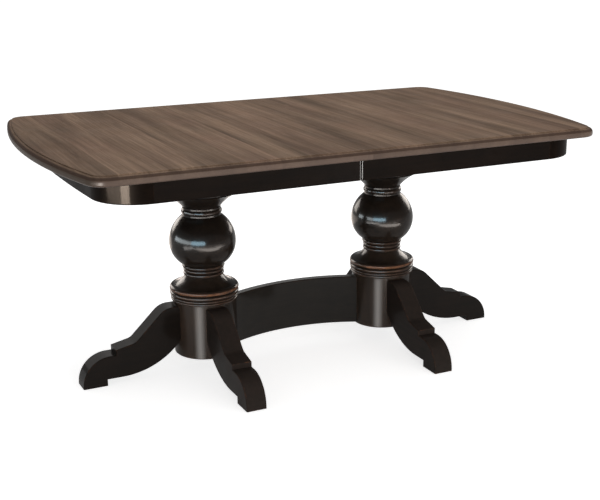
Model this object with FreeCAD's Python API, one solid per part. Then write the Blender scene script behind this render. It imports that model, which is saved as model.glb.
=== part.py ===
import FreeCAD, Part
import itertools
import math
import os

# Double pedestal extension dining table, in millimetres.
# The floor is z = 0, the middle of the table is x = y = 0, +X runs along its length and +Z is up.
# The left half of the top is the -X half. The front is the -Y side.

# Table top
top_length = 1700.0
top_width = 1040.0
top_height = 762.0
top_thickness = 28.5
end_bow = 66.0
top_corner_radius = 60.0
edge_step_inset = 15.0
edge_step_depth = 3.5
edge_field_round = 1.5
edge_upper_round = 14.0
edge_lower_round = 6.0
seam_gap = 0.2
# Boards of each half, counted from the middle seam and repeated if need be. The end board takes what is left.
end_board_least = 110.0
left_board_widths = (62.0, 120.0, 93.0, 100.0, 107.0, 138.0, 100.0)
right_board_widths = (84.0, 90.0, 82.0, 136.0, 108.0, 102.0, 120.0)

# Apron under the top
apron_side_overhang = 26.0
apron_end_overhang = 82.5
apron_end_bow = 19.5
apron_height = 61.0
apron_thickness = 20.0
apron_corner_radius = 131.0
apron_gap = 0.8
apron_seam_shift = -22.0
apron_seam_round = 6.0
apron_lower_round = 3.0
glue_block_size = 25.0
glue_block_length = 60.0
side_block_start = 150.0
side_block_pitch = 200.0
end_block_offset = 90.0

# Pedestal columns, from the floor up
pedestal_spacing = 640.0
barrel_clearance = 54.0
barrel_height = 176.0
barrel_radius = 100.0
barrel_lower_round = 4.0
# Beads on the barrel, from the bottom up: height and crest radius
base_beads = ((8.5, 105.5), (8.5, 106.5), (13.0, 108.0))
base_groove_radius = 103.0
crown_lower_height = 8.0
crown_upper_height = 10.0
crown_radius = 108.5
bell_height = 30.0
bell_foot_radius = 98.0
bell_hollow = 5.0
waist_radius = 59.5
# Rings between the bell and the ball, from the bottom up: height and crest radius
neck_rings = ((12.0, 64.0), (12.0, 63.5), (12.0, 66.5))
ball_radius = 104.0
ball_foot_radius = 64.0
ball_lower_height = 72.0
ball_upper_height = 83.5
ball_neck_radius = 61.5
collar_bead_height = 17.0
collar_bead_radius = 63.5
collar_fillet_height = 5.0
collar_groove_radius = 60.0
flare_neck_radius = 58.0
flare_height = 46.0
flare_rim_radius = 116.0
flare_hollow = 4.0
drum_radius = 110.0
drum_height = 97.0
pocket_half_width = 52.0
pocket_roof = 16.0

# Legs, where reach is the distance from the column's axis
leg_thickness = 63.0
leg_reach = 410.0
leg_housing = 3.0
leg_root_drop = 9.0
leg_root_height = 110.0
leg_shoulder_run = 50.0
leg_slope_reach = 240.5
leg_slope_height = 125.0
leg_step_reach = 303.0
leg_step_height = 111.5
leg_upper_round = 72.0
leg_knee_round = 30.0
toe_height = 95.0
toe_round = 88.0
pad_length = 76.0
arch_height = 21.0
arch_corner_reach = 179.0
arch_round = 250.0
leg_edge_round = 3.0
glide_radius = 20.0
glide_thickness = 6.0
glide_standoff = 1.0
glide_fit = 0.2

# Stretcher between the columns
stretcher_thickness = 28.0
stretcher_height = 162.0
stretcher_drop = 9.0
stretcher_bow = 54.0
stretcher_end_offset = 4.0
stretcher_edge_bevel = 2.5

# Bolts that hold the legs and the stretcher to the columns
bolt_radius = 4.0
bolt_bite = 40.0
stretcher_bolt_bite = 25.0
stretcher_bolt_shift = 5.0
bolt_edge_distance = 24.0
stretcher_bolt_edge = 36.0
bolt_tail = 14.0
nut_height = 8.0
nut_across_flats = 13.0
nut_flange_radius = 9.0
nut_flange_height = 1.5
hole_fit = 0.1

# Cross plates on the columns and the fixed slide rails on the plates
cross_plate_thickness = 22.0
cross_plate_length = 500.0
cross_plate_width = 200.0
cross_plate_round = 20.0
plate_screw_radius = 4.0
plate_screw_head_radius = 8.0
plate_screw_head_height = 6.0
plate_screw_depth = 40.0
plate_screw_offset = 53.0
rail_offset = 190.0
fixed_rail_width = 40.0
fixed_rail_height = 40.0
rail_end_margin = 10.0
rail_top_clearance = 2.0
rail_screw_spread = 60.0
rail_screw_bite = 20.0
bridge_screw_spread = 50.0

# Sliding rails, with dovetail tongues that run in the fixed rails
slide_travel = 305.0
slide_width = 28.0
slide_gap = 0.5
slide_floor_clearance = 2.0
slide_end_margin = 30.0
slide_reach = 120.0
slide_relief = 1.5
dovetail_depth = 9.0
dovetail_mouth = 12.0
dovetail_back = 20.0
dovetail_clearance = 0.35
screw_radius = 2.5
screw_head_radius = 5.0
screw_head_height = 4.0
screw_head_fit = 0.2
screw_ledge = 25.0
screw_bite = 18.0

# Equalizer gear and its racks
gear_module = 5.0
gear_teeth = 24
gear_thickness = 10.0
gear_drop = 19.0
gear_pressure_angle = 20.0
gear_flank_clearance = 0.15
gear_root_clearance = 1.25
axle_radius = 5.0
axle_fit = 0.06
axle_collar_radius = 10.0
axle_head_radius = 9.0
axle_head_height = 4.0
axle_seat_depth = 14.0
end_play = 0.3
bridge_width = 150.0
bridge_thickness = 18.0
rack_back = 14.0
rack_overlap = 1.0
rack_cleat_margin = 30.0
rack_fence_thickness = 12.0
rack_fence_length = 90.0
rack_guide_gap = 0.4

# Alignment pins in the meeting edges
pin_radius = 5.0
pin_seat = 25.0
pin_projection = 15.0
pin_drop = 15.0
pin_clearance = 0.4
pin_inner_offset = 75.0
pin_edge_distance = 118.0

# Table locks under the seam
lock_pivot_distance = 30.0
lock_arm = 60.0
lock_pin_radius = 4.0
lock_plate_thickness = 3.5
lock_plate_length = 44.0
lock_plate_width = 28.0
lock_collar_radius = 7.0
lock_collar_height = 5.0
lock_lever_thickness = 5.0
lock_lever_half_width = 12.0
lock_lever_tail = 26.0
lock_lever_round = 6.0
lock_hook_finger = 7.0
lock_slot_clearance = 0.5
lock_head_height = 3.0
lock_screw_radius = 1.8
lock_screw_head_radius = 3.4
lock_screw_head_height = 2.0
lock_screw_bite = 12.0
lock_screw_inset = 6.0

# Heights and places that follow from the driving dimensions
half_length = top_length / 2
half_width = top_width / 2
underside = top_height - top_thickness
end_radius = (half_width ** 2 + end_bow ** 2) / (2 * end_bow)
apron_bottom = underside - apron_height
apron_half_length = half_length - apron_end_overhang
apron_half_width = half_width - apron_side_overhang
apron_end_radius = (apron_half_width ** 2 + apron_end_bow ** 2) / (2 * apron_end_bow)
apron_inner_face = apron_half_width - apron_thickness
apron_inner_end = apron_half_length - apron_thickness
fixed_rail_top = underside - rail_top_clearance
plate_top = fixed_rail_top - fixed_rail_height
column_top = plate_top - cross_plate_thickness
dovetail_height = plate_top + fixed_rail_height / 2
pedestal_x = pedestal_spacing / 2
barrel_top = barrel_clearance + barrel_height
seat_reach = math.sqrt(barrel_radius ** 2 - (leg_thickness / 2) ** 2) - leg_housing
pocket_top = barrel_top - pocket_roof
leg_root_top = barrel_top - leg_root_drop
leg_root_bottom = leg_root_top - leg_root_height
stretcher_top = barrel_top - stretcher_drop
stretcher_bottom = stretcher_top - stretcher_height
gear_radius = gear_module * gear_teeth / 2
gear_pitch = math.pi * gear_module
gear_top = underside - gear_drop
gear_bottom = gear_top - gear_thickness
rack_back_offset = gear_radius + gear_module + gear_root_clearance + rack_back
screw_ledge_height = underside - screw_ledge
pin_height = top_height - pin_drop
outer_slide_face = rail_offset + fixed_rail_width / 2 + slide_gap + slide_width
lock_lever_tip = lock_arm + lock_pin_radius + lock_slot_clearance + lock_hook_finger
lock_offset = (outer_slide_face + apron_inner_face - lock_lever_tip + lock_lever_tail) / 2
lock_plate_bottom = underside - lock_plate_thickness
lock_lever_top = lock_plate_bottom - lock_collar_height - end_play
lock_lever_bottom = lock_lever_top - lock_lever_thickness
lock_head_top = lock_lever_bottom - end_play

LEFT = -1
RIGHT = 1
FRONT = -1
REAR = 1
SIDE_NAMES = {LEFT: "left", RIGHT: "right"}
LANE_NAMES = {FRONT: "front", REAR: "rear"}
UP = FreeCAD.Vector(0, 0, 1)
OVERRUN = 1.0


def point(x, y, z=0.0):
    return FreeCAD.Vector(x, y, z)


def block(x_pair, y_pair, z_pair):
    """A box between two values on each axis, in either order."""
    low = point(min(x_pair), min(y_pair), min(z_pair))
    high = point(max(x_pair), max(y_pair), max(z_pair))
    size = high - low
    return Part.makeBox(size.x, size.y, size.z, low)


def rod(radius, start, direction, length):
    return Part.makeCylinder(radius, length, start, direction)


def upright(radius, x, y, z_pair):
    """A vertical cylinder between two heights."""
    return rod(radius, point(x, y, min(z_pair)), UP, max(z_pair) - min(z_pair))


def cut_all(shape, tools):
    for tool in tools:
        shape = shape.cut(tool)
    return shape


def join_all(shapes):
    joined = shapes[0]
    for shape in shapes[1:]:
        joined = joined.fuse(shape)
    return joined.removeSplitter()


def rounded_wire(corners):
    """A closed wire through corners (x, y, radius), each rounded as far as its two runs allow."""
    share = 0.49
    ends = []
    count = len(corners)
    for index in range(count):
        here = point(*corners[index][:2])
        before = point(*corners[index - 1][:2]) - here
        after = point(*corners[(index + 1) % count][:2]) - here
        radius = corners[index][2]
        if radius <= 0:
            ends.append((here, None, here))
            continue
        half_angle = before.getAngle(after) / 2
        allowed = share * min(before.Length, after.Length)
        if corners[index - 1][2] <= 0 and corners[(index + 1) % count][2] <= 0:
            allowed = allowed * 2
        tangent = min(radius / math.tan(half_angle), allowed)
        radius = tangent * math.tan(half_angle)
        inward = (before.normalize() + after.normalize()).normalize()
        centre = here + inward * (radius / math.sin(half_angle))
        ends.append((here + before * tangent, centre - inward * radius, here + after * tangent))
    edges = []
    for index in range(count):
        start, middle, finish = ends[index]
        if middle is not None:
            edges.append(Part.Arc(start, middle, finish).toShape())
        following = ends[(index + 1) % count][0]
        if (following - finish).Length > 1e-6:
            edges.append(Part.LineSegment(finish, following).toShape())
    return Part.Wire(edges)


def plate(corners, z_pair):
    """A flat piece with a rounded outline, between two heights."""
    face = Part.Face(rounded_wire(corners))
    face.translate(point(0, 0, min(z_pair)))
    return face.extrude(point(0, 0, max(z_pair) - min(z_pair)))


def rectangle(x_pair, y_pair, radius):
    return [
        (min(x_pair), min(y_pair), radius),
        (max(x_pair), min(y_pair), radius),
        (max(x_pair), max(y_pair), radius),
        (min(x_pair), max(y_pair), radius),
    ]


def ease(shape, radius, wanted):
    """Round the edges that the test picks, given each edge's bounding box."""
    edges = [edge for edge in shape.Edges if wanted(edge.BoundBox)]
    return shape.makeFillet(radius, edges)


def level_at(z):
    """A test for edges that lie flat at one height."""
    return lambda bounds: abs(bounds.ZMin - z) < 1e-3 and abs(bounds.ZMax - z) < 1e-3


def corner_centre(length, width, corner, end):
    """Where the corner arc of a bowed outline has its centre, for half its length and width."""
    corner_y = width - corner
    corner_x = length - end + math.sqrt((end - corner) ** 2 - corner_y ** 2)
    return corner_x, corner_y


def bowed_outline(length, width, corner, end):
    """A wire with straight sides, rounded corners and bowed ends, for half its length and width."""
    corner_x, corner_y = corner_centre(length, width, corner, end)
    lean = math.asin(corner_y / (end - corner))
    meet_x = length - end + end * math.cos(lean)
    meet_y = end * math.sin(lean)
    middle = (lean + math.pi / 2) / 2
    arc_x = corner_x + corner * math.cos(middle)
    arc_y = corner_y + corner * math.sin(middle)
    edges = []
    for sx, sy in ((1, 1), (-1, -1)):
        meet_low = point(sx * meet_x, -sy * meet_y)
        meet_high = point(sx * meet_x, sy * meet_y)
        side = point(sx * corner_x, sy * width)
        far_side = point(-sx * corner_x, sy * width)
        far_meet = point(-sx * meet_x, sy * meet_y)
        edges.append(Part.Arc(meet_low, point(sx * length, 0), meet_high).toShape())
        edges.append(Part.Arc(meet_high, point(sx * arc_x, sy * arc_y), side).toShape())
        edges.append(Part.LineSegment(side, far_side).toShape())
        edges.append(Part.Arc(far_side, point(-sx * arc_x, sy * arc_y), far_meet).toShape())
    return Part.Wire(edges)


def bowed_slab(inset, z_pair):
    """A slab with the outline of the table top, drawn in by an inset."""
    wire = bowed_outline(
        half_length - inset, half_width - inset, top_corner_radius - inset, end_radius - inset)
    wire.translate(point(0, 0, min(z_pair)))
    return Part.Face(wire).extrude(point(0, 0, max(z_pair) - min(z_pair)))


def whole_top():
    """The table top in one piece, with a low step and a round nose at its edge, before it is cut into boards."""
    step_height = top_height - edge_step_depth
    slab = bowed_slab(0.0, (underside, step_height))
    slab = ease(slab, edge_upper_round, level_at(step_height))
    slab = ease(slab, edge_lower_round, level_at(underside))
    field = bowed_slab(edge_step_inset, (step_height, top_height))
    field = ease(field, edge_field_round, level_at(top_height))
    return join_all([slab, field])


def board_spans(widths):
    """Nearest and farthest distance of each board of one half from the middle of the table."""
    spans = []
    start = seam_gap / 2
    widths_left = itertools.cycle(widths)
    width = next(widths_left)
    while start + width + end_board_least <= half_length:
        spans.append((start, start + width))
        start = start + width
        width = next(widths_left)
    spans.append((start, half_length + OVERRUN))
    return spans


SPANS = {LEFT: board_spans(left_board_widths), RIGHT: board_spans(right_board_widths)}
SLIDE_END = apron_inner_end - glue_block_size - slide_end_margin


def slide_is_inner(side, lane):
    """Each half has one slide inside its fixed rail and one outside it, so the two halves are alike."""
    return side * lane > 0


def slide_centre(side, lane):
    """Distance of a slide's middle from the table's long centre line."""
    away = -1 if slide_is_inner(side, lane) else 1
    return lane * (rail_offset + away * (fixed_rail_width / 2 + slide_gap + slide_width / 2))


def screwed_distances(side):
    """Middle of each board that a slide reaches, as a distance from the middle of the table."""
    middles = [(near + far) / 2 for near, far in SPANS[side]]
    return [middle for middle in middles if middle < SLIDE_END - screw_head_radius * 2]


def rack_lane(side):
    """The left half's rack runs in front of the gear, and the right half's behind it."""
    return FRONT if side == LEFT else REAR


def rack_centre(side):
    return rack_lane(side) * (rack_back_offset - rack_back / 2)


def rack_screw_distances(side):
    """The rack's cleat is screwed to the second and third board."""
    return [sum(SPANS[side][index]) / 2 for index in (1, 2)]


def top_screw_places(side):
    places = []
    for lane in (FRONT, REAR):
        for distance in screwed_distances(side):
            places.append((side * distance, slide_centre(side, lane)))
    for distance in rack_screw_distances(side):
        places.append((side * distance, rack_centre(side)))
    return places


def top_screw(x, y):
    head = upright(screw_head_radius, x, y, (screw_ledge_height - screw_head_height, screw_ledge_height))
    shank = upright(screw_radius, x, y, (screw_ledge_height, underside + screw_bite))
    return head.fuse(shank)


def top_screw_hole(x, y):
    """Room for one screw: a counterbore from below up to its ledge, and a pilot above."""
    pocket = upright(screw_head_radius + screw_head_fit, x, y, (apron_bottom, screw_ledge_height))
    pilot_end = underside + screw_bite + hole_fit
    pilot = upright(screw_radius + hole_fit, x, y, (screw_ledge_height - OVERRUN, pilot_end))
    return pocket.fuse(pilot)


def top_screw_holes(side):
    return [top_screw_hole(x, y) for x, y in top_screw_places(side)]


def lock_plate_span(side):
    """Near and far distance of a lock plate or keeper plate from the middle of the table."""
    centre = lock_pivot_distance if side == LEFT else lock_arm - lock_pivot_distance
    return centre - lock_plate_length / 2, centre + lock_plate_length / 2


def lock_screw_places(side):
    """Two screws for each plate, in opposite corners."""
    near, far = lock_plate_span(side)
    reach = lock_plate_width / 2 - lock_screw_inset
    places = []
    for lane in (FRONT, REAR):
        places.append((side * (near + lock_screw_inset), lane * lock_offset - reach))
        places.append((side * (far - lock_screw_inset), lane * lock_offset + reach))
    return places


def lock_screw(x, y):
    head_bottom = lock_plate_bottom - lock_screw_head_height
    head = upright(lock_screw_head_radius, x, y, (head_bottom, lock_plate_bottom))
    shank = upright(lock_screw_radius, x, y, (lock_plate_bottom, underside + lock_screw_bite))
    return head.fuse(shank)


def lock_screw_holes(side):
    z_pair = (lock_plate_bottom - OVERRUN, underside + lock_screw_bite + hole_fit)
    radius = lock_screw_radius + hole_fit
    return [upright(radius, x, y, z_pair) for x, y in lock_screw_places(side)]


def pin_offsets():
    outer = half_width - pin_edge_distance
    return [-outer, -pin_inner_offset, pin_inner_offset, outer]


def pin_holes(side):
    """Close holes in the left half hold the pins, and looser ones in the right half receive them."""
    fit = hole_fit if side == LEFT else pin_clearance
    depth = (pin_seat if side == LEFT else pin_projection) + seam_gap / 2 + fit
    direction = point(side, 0)
    return [rod(pin_radius + fit, point(0, y, pin_height), direction, depth) for y in pin_offsets()]


def top_boards(side, slab):
    """The boards of one half, cut from the shaped top and bored for their pins and screws."""
    holes = pin_holes(side) + top_screw_holes(side) + lock_screw_holes(side)
    boards = {}
    for number, (near, far) in enumerate(SPANS[side], start=1):
        bounds = block(
            (side * near, side * far), (-half_width, half_width), (underside, top_height))
        board = slab.common(bounds)
        reached = [hole for hole in holes if hole.BoundBox.intersect(board.BoundBox)]
        boards[f"{SIDE_NAMES[side]}_board_{number}"] = cut_all(board, reached).Solids[0]
    return boards


def alignment_pins():
    seat_x = -(pin_seat + seam_gap / 2)
    length = pin_seat + seam_gap / 2 + pin_projection
    pins = [rod(pin_radius, point(seat_x, y, pin_height), point(1, 0), length) for y in pin_offsets()]
    return Part.makeCompound(pins)


def apron_outline(inset):
    return bowed_outline(
        apron_half_length - inset,
        apron_half_width - inset,
        apron_corner_radius - inset,
        apron_end_radius - inset)


def apron_ring():
    """The whole apron as one bowed ring, with its lower outer edge eased."""
    shapes = []
    for inset in (0.0, apron_thickness):
        wire = apron_outline(inset)
        wire.translate(point(0, 0, apron_bottom))
        shapes.append(Part.Face(wire).extrude(point(0, 0, apron_height)))
    outer = ease(shapes[0], apron_lower_round, level_at(apron_bottom))
    return outer.cut(shapes[1])


def apron_joint_distance():
    """Where the straight side aprons meet the bent end apron."""
    return corner_centre(apron_half_length, apron_half_width, apron_corner_radius, apron_end_radius)[0]


def side_apron(side, lane):
    """A straight apron board, with its end at the apron's seam rounded in front."""
    seam = apron_seam_shift + side * apron_gap / 2
    joint = side * apron_joint_distance()
    outer = lane * apron_half_width
    inner = lane * apron_inner_face
    corners = [(seam, outer, apron_seam_round), (seam, inner, 0), (joint, inner, 0), (joint, outer, 0)]
    board = plate(corners, (apron_bottom, underside))
    limit = apron_half_width - apron_seam_round

    def lower_outer(bounds):
        return level_at(apron_bottom)(bounds) and lane * bounds.Center.y > limit

    return ease(board, apron_lower_round, lower_outer)


def end_apron(side, ring):
    """The bowed end of the apron, bent round both corners."""
    joint = apron_joint_distance()
    reach = (side * joint, side * (half_length + OVERRUN))
    return ring.common(block(reach, (-half_width, half_width), (apron_bottom, underside))).Solids[0]


def glue_blocks(side, end_piece):
    """Blocks that hold the apron to the underside of the boards, clear of its bent corners."""
    heights = (underside - glue_block_size, underside)
    half = glue_block_length / 2
    corner_offset = apron_half_width - apron_corner_radius - half
    blocks = []
    for lane in (FRONT, REAR):
        across = (lane * apron_inner_face, lane * (apron_inner_face - glue_block_size))
        distance = side_block_start
        while distance + half <= apron_joint_distance():
            along = (side * (distance - half), side * (distance + half))
            blocks.append(block(along, across, heights))
            distance = distance + side_block_pitch
        for offset in (end_block_offset, corner_offset):
            deep = (side * (apron_inner_end - glue_block_size), side * apron_half_length)
            wide = (lane * offset - half, lane * offset + half)
            whole = block(deep, wide, heights)
            pieces = whole.cut(end_piece).Solids
            blocks.append(min(pieces, key=lambda solid: side * solid.CenterOfMass.x))
    return Part.makeCompound(blocks)


class Turning:
    """A turned profile, drawn upwards as radii and rises, then spun about the column's axis."""

    def __init__(self, radius, height):
        self.foot = point(0, 0, height)
        self.last = self.foot
        self.stretch = 1.0
        self.edges = []
        self.line(radius, 0.0)

    def reached(self, radius, rise):
        """The point at a radius, a rise above the last point, stretched as the column is."""
        return point(radius, 0, self.last.z + rise * self.stretch)

    def line(self, radius, rise):
        target = self.reached(radius, rise)
        if (target - self.last).Length > 1e-6:
            self.edges.append(Part.LineSegment(self.last, target).toShape())
        self.last = target

    def arc(self, middle, target):
        self.edges.append(Part.Arc(self.last, middle, target).toShape())
        self.last = target

    def bulge(self, foot, crest, neck, lower_rise, upper_rise):
        """A rounded swelling from a foot radius over a crest, where it runs upright, to a neck radius."""
        self.line(foot, 0.0)
        crest_point = self.reached(crest, lower_rise)
        neck_point = self.reached(neck, lower_rise + upper_rise)
        self.arc(self.beside(crest_point, self.last), crest_point)
        self.arc(self.beside(crest_point, neck_point), neck_point)

    @staticmethod
    def beside(crest_point, end):
        """The middle of the arc from an end to a crest where it runs upright."""
        inset = crest_point.x - end.x
        rise = end.z - crest_point.z
        radius = (inset ** 2 + rise ** 2) / (2 * inset)
        half_angle = math.asin(rise / radius) / 2
        inner = crest_point.x - radius
        return point(inner + radius * math.cos(half_angle), 0, crest_point.z + radius * math.sin(half_angle))

    def bead(self, groove, crest, rise):
        """A rounded bead between two grooves."""
        self.bulge(groove, crest, groove, rise / 2, rise / 2)

    def hollow(self, radius, rise, depth):
        """A concave sweep to a new radius, hollowed by a depth towards the axis."""
        target = self.reached(radius, rise)
        chord = target - self.last
        inward = point(-chord.z, 0, chord.x).normalize()
        self.arc(self.last + chord * 0.5 + inward * depth, target)

    def spin(self):
        self.line(0.0, 0.0)
        self.edges.append(Part.LineSegment(self.last, self.foot).toShape())
        face = Part.Face(Part.Wire(self.edges))
        return face.revolve(point(0, 0), UP, 360)


def turned_column():
    """The solid turned column, on the axis of the frame. What is above the barrel fits the height there."""
    rises = [height for height, _ in base_beads + neck_rings]
    rises.extend([crown_lower_height, crown_upper_height, bell_height, ball_lower_height, ball_upper_height])
    rises.extend([collar_bead_height, 2 * collar_fillet_height, flare_height, drum_height])
    turning = Turning(barrel_radius - barrel_lower_round, barrel_clearance)
    turning.line(barrel_radius, barrel_lower_round)
    turning.line(barrel_radius, barrel_height - barrel_lower_round)
    turning.stretch = (column_top - barrel_top) / sum(rises)
    for height, crest in base_beads:
        turning.bead(base_groove_radius, crest, height)
    turning.bulge(base_groove_radius, crown_radius, bell_foot_radius, crown_lower_height, crown_upper_height)
    turning.hollow(waist_radius, bell_height, bell_hollow)
    for height, crest in neck_rings:
        turning.bead(waist_radius, crest, height)
    turning.bulge(ball_foot_radius, ball_radius, ball_neck_radius, ball_lower_height, ball_upper_height)
    turning.line(collar_groove_radius, 0.0)
    turning.line(collar_groove_radius, collar_fillet_height)
    turning.bead(collar_groove_radius, collar_bead_radius, collar_bead_height)
    turning.line(collar_groove_radius, collar_fillet_height)
    turning.line(flare_neck_radius, 0.0)
    turning.hollow(flare_rim_radius, flare_height, flare_hollow)
    turning.line(drum_radius, 0.0)
    turning.line(drum_radius, drum_height)
    return turning.spin()


def leg_blank():
    """One leg along +X from the column's axis, with its long edges rounded and a glide recess."""
    pad_start = leg_reach - pad_length
    corners = [
        (seat_reach, leg_root_top, 0),
        (seat_reach + leg_shoulder_run, leg_root_top, leg_upper_round),
        (leg_slope_reach, leg_slope_height, leg_knee_round),
        (leg_step_reach, leg_step_height, 0),
        (leg_step_reach, toe_height, 0),
        (leg_reach, toe_height, toe_round),
        (leg_reach, glide_standoff, 0),
        (pad_start, glide_standoff, 0),
        (pad_start, arch_height, 0),
        (arch_corner_reach, arch_height, arch_round),
        (seat_reach, leg_root_bottom, 0),
    ]
    flat = plate(corners, (-leg_thickness / 2, leg_thickness / 2))
    root = seat_reach + leg_edge_round

    def long_edge(bounds):
        on_side = abs(abs(bounds.ZMin) - leg_thickness / 2) < 1e-3 and bounds.ZLength < 1e-3
        at_root = bounds.XMax < root
        on_floor = bounds.YMax < glide_standoff + 1e-3
        return on_side and not at_root and not on_floor

    leg = ease(flat, leg_edge_round, long_edge)
    leg.rotate(point(0, 0), point(1, 0), 90)
    recess = upright(
        glide_radius + glide_fit, leg_reach - pad_length / 2, 0, (0.0, glide_thickness))
    return leg.cut(recess)


# Direction of each leg about its column, in degrees, where 0 points along +X
LEG_ANGLES = {
    LEFT: {"outer": 180.0, "front": -90.0, "rear": 90.0},
    RIGHT: {"outer": 0.0, "front": -90.0, "rear": 90.0},
}


def placed(shape, angle, side):
    """A copy of a shape turned about a column's axis and moved to that column."""
    copy = shape.copy()
    copy.rotate(point(0, 0), UP, angle)
    copy.translate(point(side * pedestal_x, 0))
    return copy


def legs(side, blank):
    name = SIDE_NAMES[side]
    return {f"{name}_{place}_leg": placed(blank, angle, side) for place, angle in LEG_ANGLES[side].items()}


def stretcher():
    """The board between the columns, bowed to the back, with its long edges bevelled."""
    reach = pedestal_x - seat_reach
    radius = (reach ** 2 + stretcher_bow ** 2) / (2 * stretcher_bow)
    centre_y = stretcher_end_offset + stretcher_bow - radius
    half = stretcher_thickness / 2
    bevel = stretcher_edge_bevel
    corners = []
    for turn, z in ((-1, stretcher_bottom), (1, stretcher_top)):
        corners.append((radius + turn * half, z - turn * bevel, 0))
        corners.append((radius + turn * (half - bevel), z, 0))
        corners.append((radius - turn * (half - bevel), z, 0))
        corners.append((radius - turn * half, z - turn * bevel, 0))
    section = Part.Face(rounded_wire(corners))
    section.rotate(point(0, 0), point(1, 0), 90)
    half_sweep = math.degrees(math.asin((reach + stretcher_thickness) / radius))
    section.rotate(point(0, 0), UP, 90 - half_sweep)
    bent = section.revolve(point(0, 0), UP, 2 * half_sweep)
    bent.translate(point(0, centre_y))
    across = (centre_y, centre_y + radius + stretcher_thickness)
    tall = (stretcher_bottom - OVERRUN, stretcher_top + OVERRUN)
    return bent.common(block((-reach, reach), across, tall)).Solids[0]


def bolt_places(side):
    """Each bolt of a column: its angle, its height, its sideways shift and its bite past the seat."""
    places = []
    leg_heights = (leg_root_bottom + bolt_edge_distance, leg_root_top - bolt_edge_distance)
    for angle in LEG_ANGLES[side].values():
        places.extend((angle, height, 0.0, bolt_bite) for height in leg_heights)
    inward = 0.0 if side == LEFT else 180.0
    shift = stretcher_end_offset + stretcher_bolt_shift
    sideways = shift if side == LEFT else -shift
    for height in (stretcher_bottom + stretcher_bolt_edge, stretcher_top - stretcher_bolt_edge):
        places.append((inward, height, sideways, stretcher_bolt_bite))
    return places


def bolt_solids(side, growth):
    """The bolts of one column, or their holes where growth widens and lengthens them."""
    start = pocket_half_width - bolt_tail
    solids = []
    for angle, height, shift, bite in bolt_places(side):
        length = seat_reach + bite + growth - start
        bolt = rod(bolt_radius + growth, point(start, shift, height), point(1, 0), length)
        solids.append(placed(bolt, angle, side))
    return solids


def flange_nut():
    """A hexagon nut with a flange, along +X, with its flange against the pocket's wall."""
    corner_radius = nut_across_flats / math.sqrt(3)
    turns = [math.radians(60 * step) for step in range(7)]
    ring = [point(0, corner_radius * math.cos(turn), corner_radius * math.sin(turn)) for turn in turns]
    hexagon = Part.Face(Part.makePolygon(ring)).extrude(point(nut_height, 0))
    flange_start = nut_height - nut_flange_height
    flange = rod(nut_flange_radius, point(flange_start, 0), point(1, 0), nut_flange_height)
    bore = rod(bolt_radius + hole_fit, point(-OVERRUN, 0), point(1, 0), nut_height + 2 * OVERRUN)
    nut = join_all([hexagon, flange]).cut(bore)
    nut.translate(point(pocket_half_width - nut_height, 0))
    return nut


def nut_solids(side):
    solids = []
    for angle, height, shift, _ in bolt_places(side):
        nut = flange_nut()
        nut.translate(point(0, shift, height))
        solids.append(placed(nut, angle, side))
    return solids


def plate_screw_places(side):
    offset = plate_screw_offset
    corners = ((1, 1), (1, -1), (-1, 1), (-1, -1))
    return [(side * pedestal_x + sx * offset, sy * offset) for sx, sy in corners]


def plate_screw(x, y):
    head_top = plate_top - OVERRUN
    ledge = head_top - plate_screw_head_height
    head = upright(plate_screw_head_radius, x, y, (ledge, head_top))
    shank = upright(plate_screw_radius, x, y, (column_top - plate_screw_depth, ledge))
    return head.fuse(shank)


def plate_screw_hole(x, y):
    ledge = plate_top - OVERRUN - plate_screw_head_height
    pocket = upright(plate_screw_head_radius + screw_head_fit, x, y, (ledge, plate_top + OVERRUN))
    tip = column_top - plate_screw_depth - hole_fit
    pilot = upright(plate_screw_radius + hole_fit, x, y, (tip, ledge + OVERRUN))
    return pocket.fuse(pilot)


def column(side, fitted, turned):
    """One column, hollowed from below and cut for its legs, its stretcher end and its fixings."""
    shape = placed(turned, 0.0, side)
    across = (-pocket_half_width, pocket_half_width)
    along = [side * pedestal_x + value for value in across]
    shape = shape.cut(block(along, across, (0.0, pocket_top)))
    holes = [plate_screw_hole(x, y) for x, y in plate_screw_places(side)]
    return cut_all(shape, fitted + bolt_solids(side, hole_fit) + holes).Solids[0]


def rail_screw_places():
    """Screws up into the fixed rails: x, y and the underside that each head is sunk into."""
    plate_bottom = plate_top - cross_plate_thickness
    bridge_bottom = plate_top - bridge_thickness
    places = []
    for lane in (FRONT, REAR):
        for turn in (-1, 1):
            for side in (LEFT, RIGHT):
                x = side * pedestal_x + turn * rail_screw_spread
                places.append((x, lane * rail_offset, plate_bottom))
            places.append((turn * bridge_screw_spread, lane * rail_offset, bridge_bottom))
    return places


def rail_screw(x, y, base):
    ledge = base + OVERRUN + screw_head_height
    head = upright(screw_head_radius, x, y, (base + OVERRUN, ledge))
    shank = upright(screw_radius, x, y, (ledge, plate_top + rail_screw_bite))
    return head.fuse(shank)


def rail_screw_hole(x, y, base):
    ledge = base + OVERRUN + screw_head_height
    pocket = upright(screw_head_radius + screw_head_fit, x, y, (base - OVERRUN, ledge))
    tip = plate_top + rail_screw_bite + hole_fit
    pilot = upright(screw_radius + hole_fit, x, y, (ledge - OVERRUN, tip))
    return pocket.fuse(pilot)


def rail_screw_holes():
    return [rail_screw_hole(*place) for place in rail_screw_places()]


def cross_plate(side):
    """The board across the top of one column, which carries the fixed rails."""
    centre = side * pedestal_x
    along = (centre - cross_plate_width / 2, centre + cross_plate_width / 2)
    across = (-cross_plate_length / 2, cross_plate_length / 2)
    board = plate(rectangle(along, across, cross_plate_round), (column_top, plate_top))
    holes = [plate_screw_hole(x, y) for x, y in plate_screw_places(side)] + rail_screw_holes()
    reached = [hole for hole in holes if hole.BoundBox.intersect(board.BoundBox)]
    return cut_all(board, reached).Solids[0]


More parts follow.
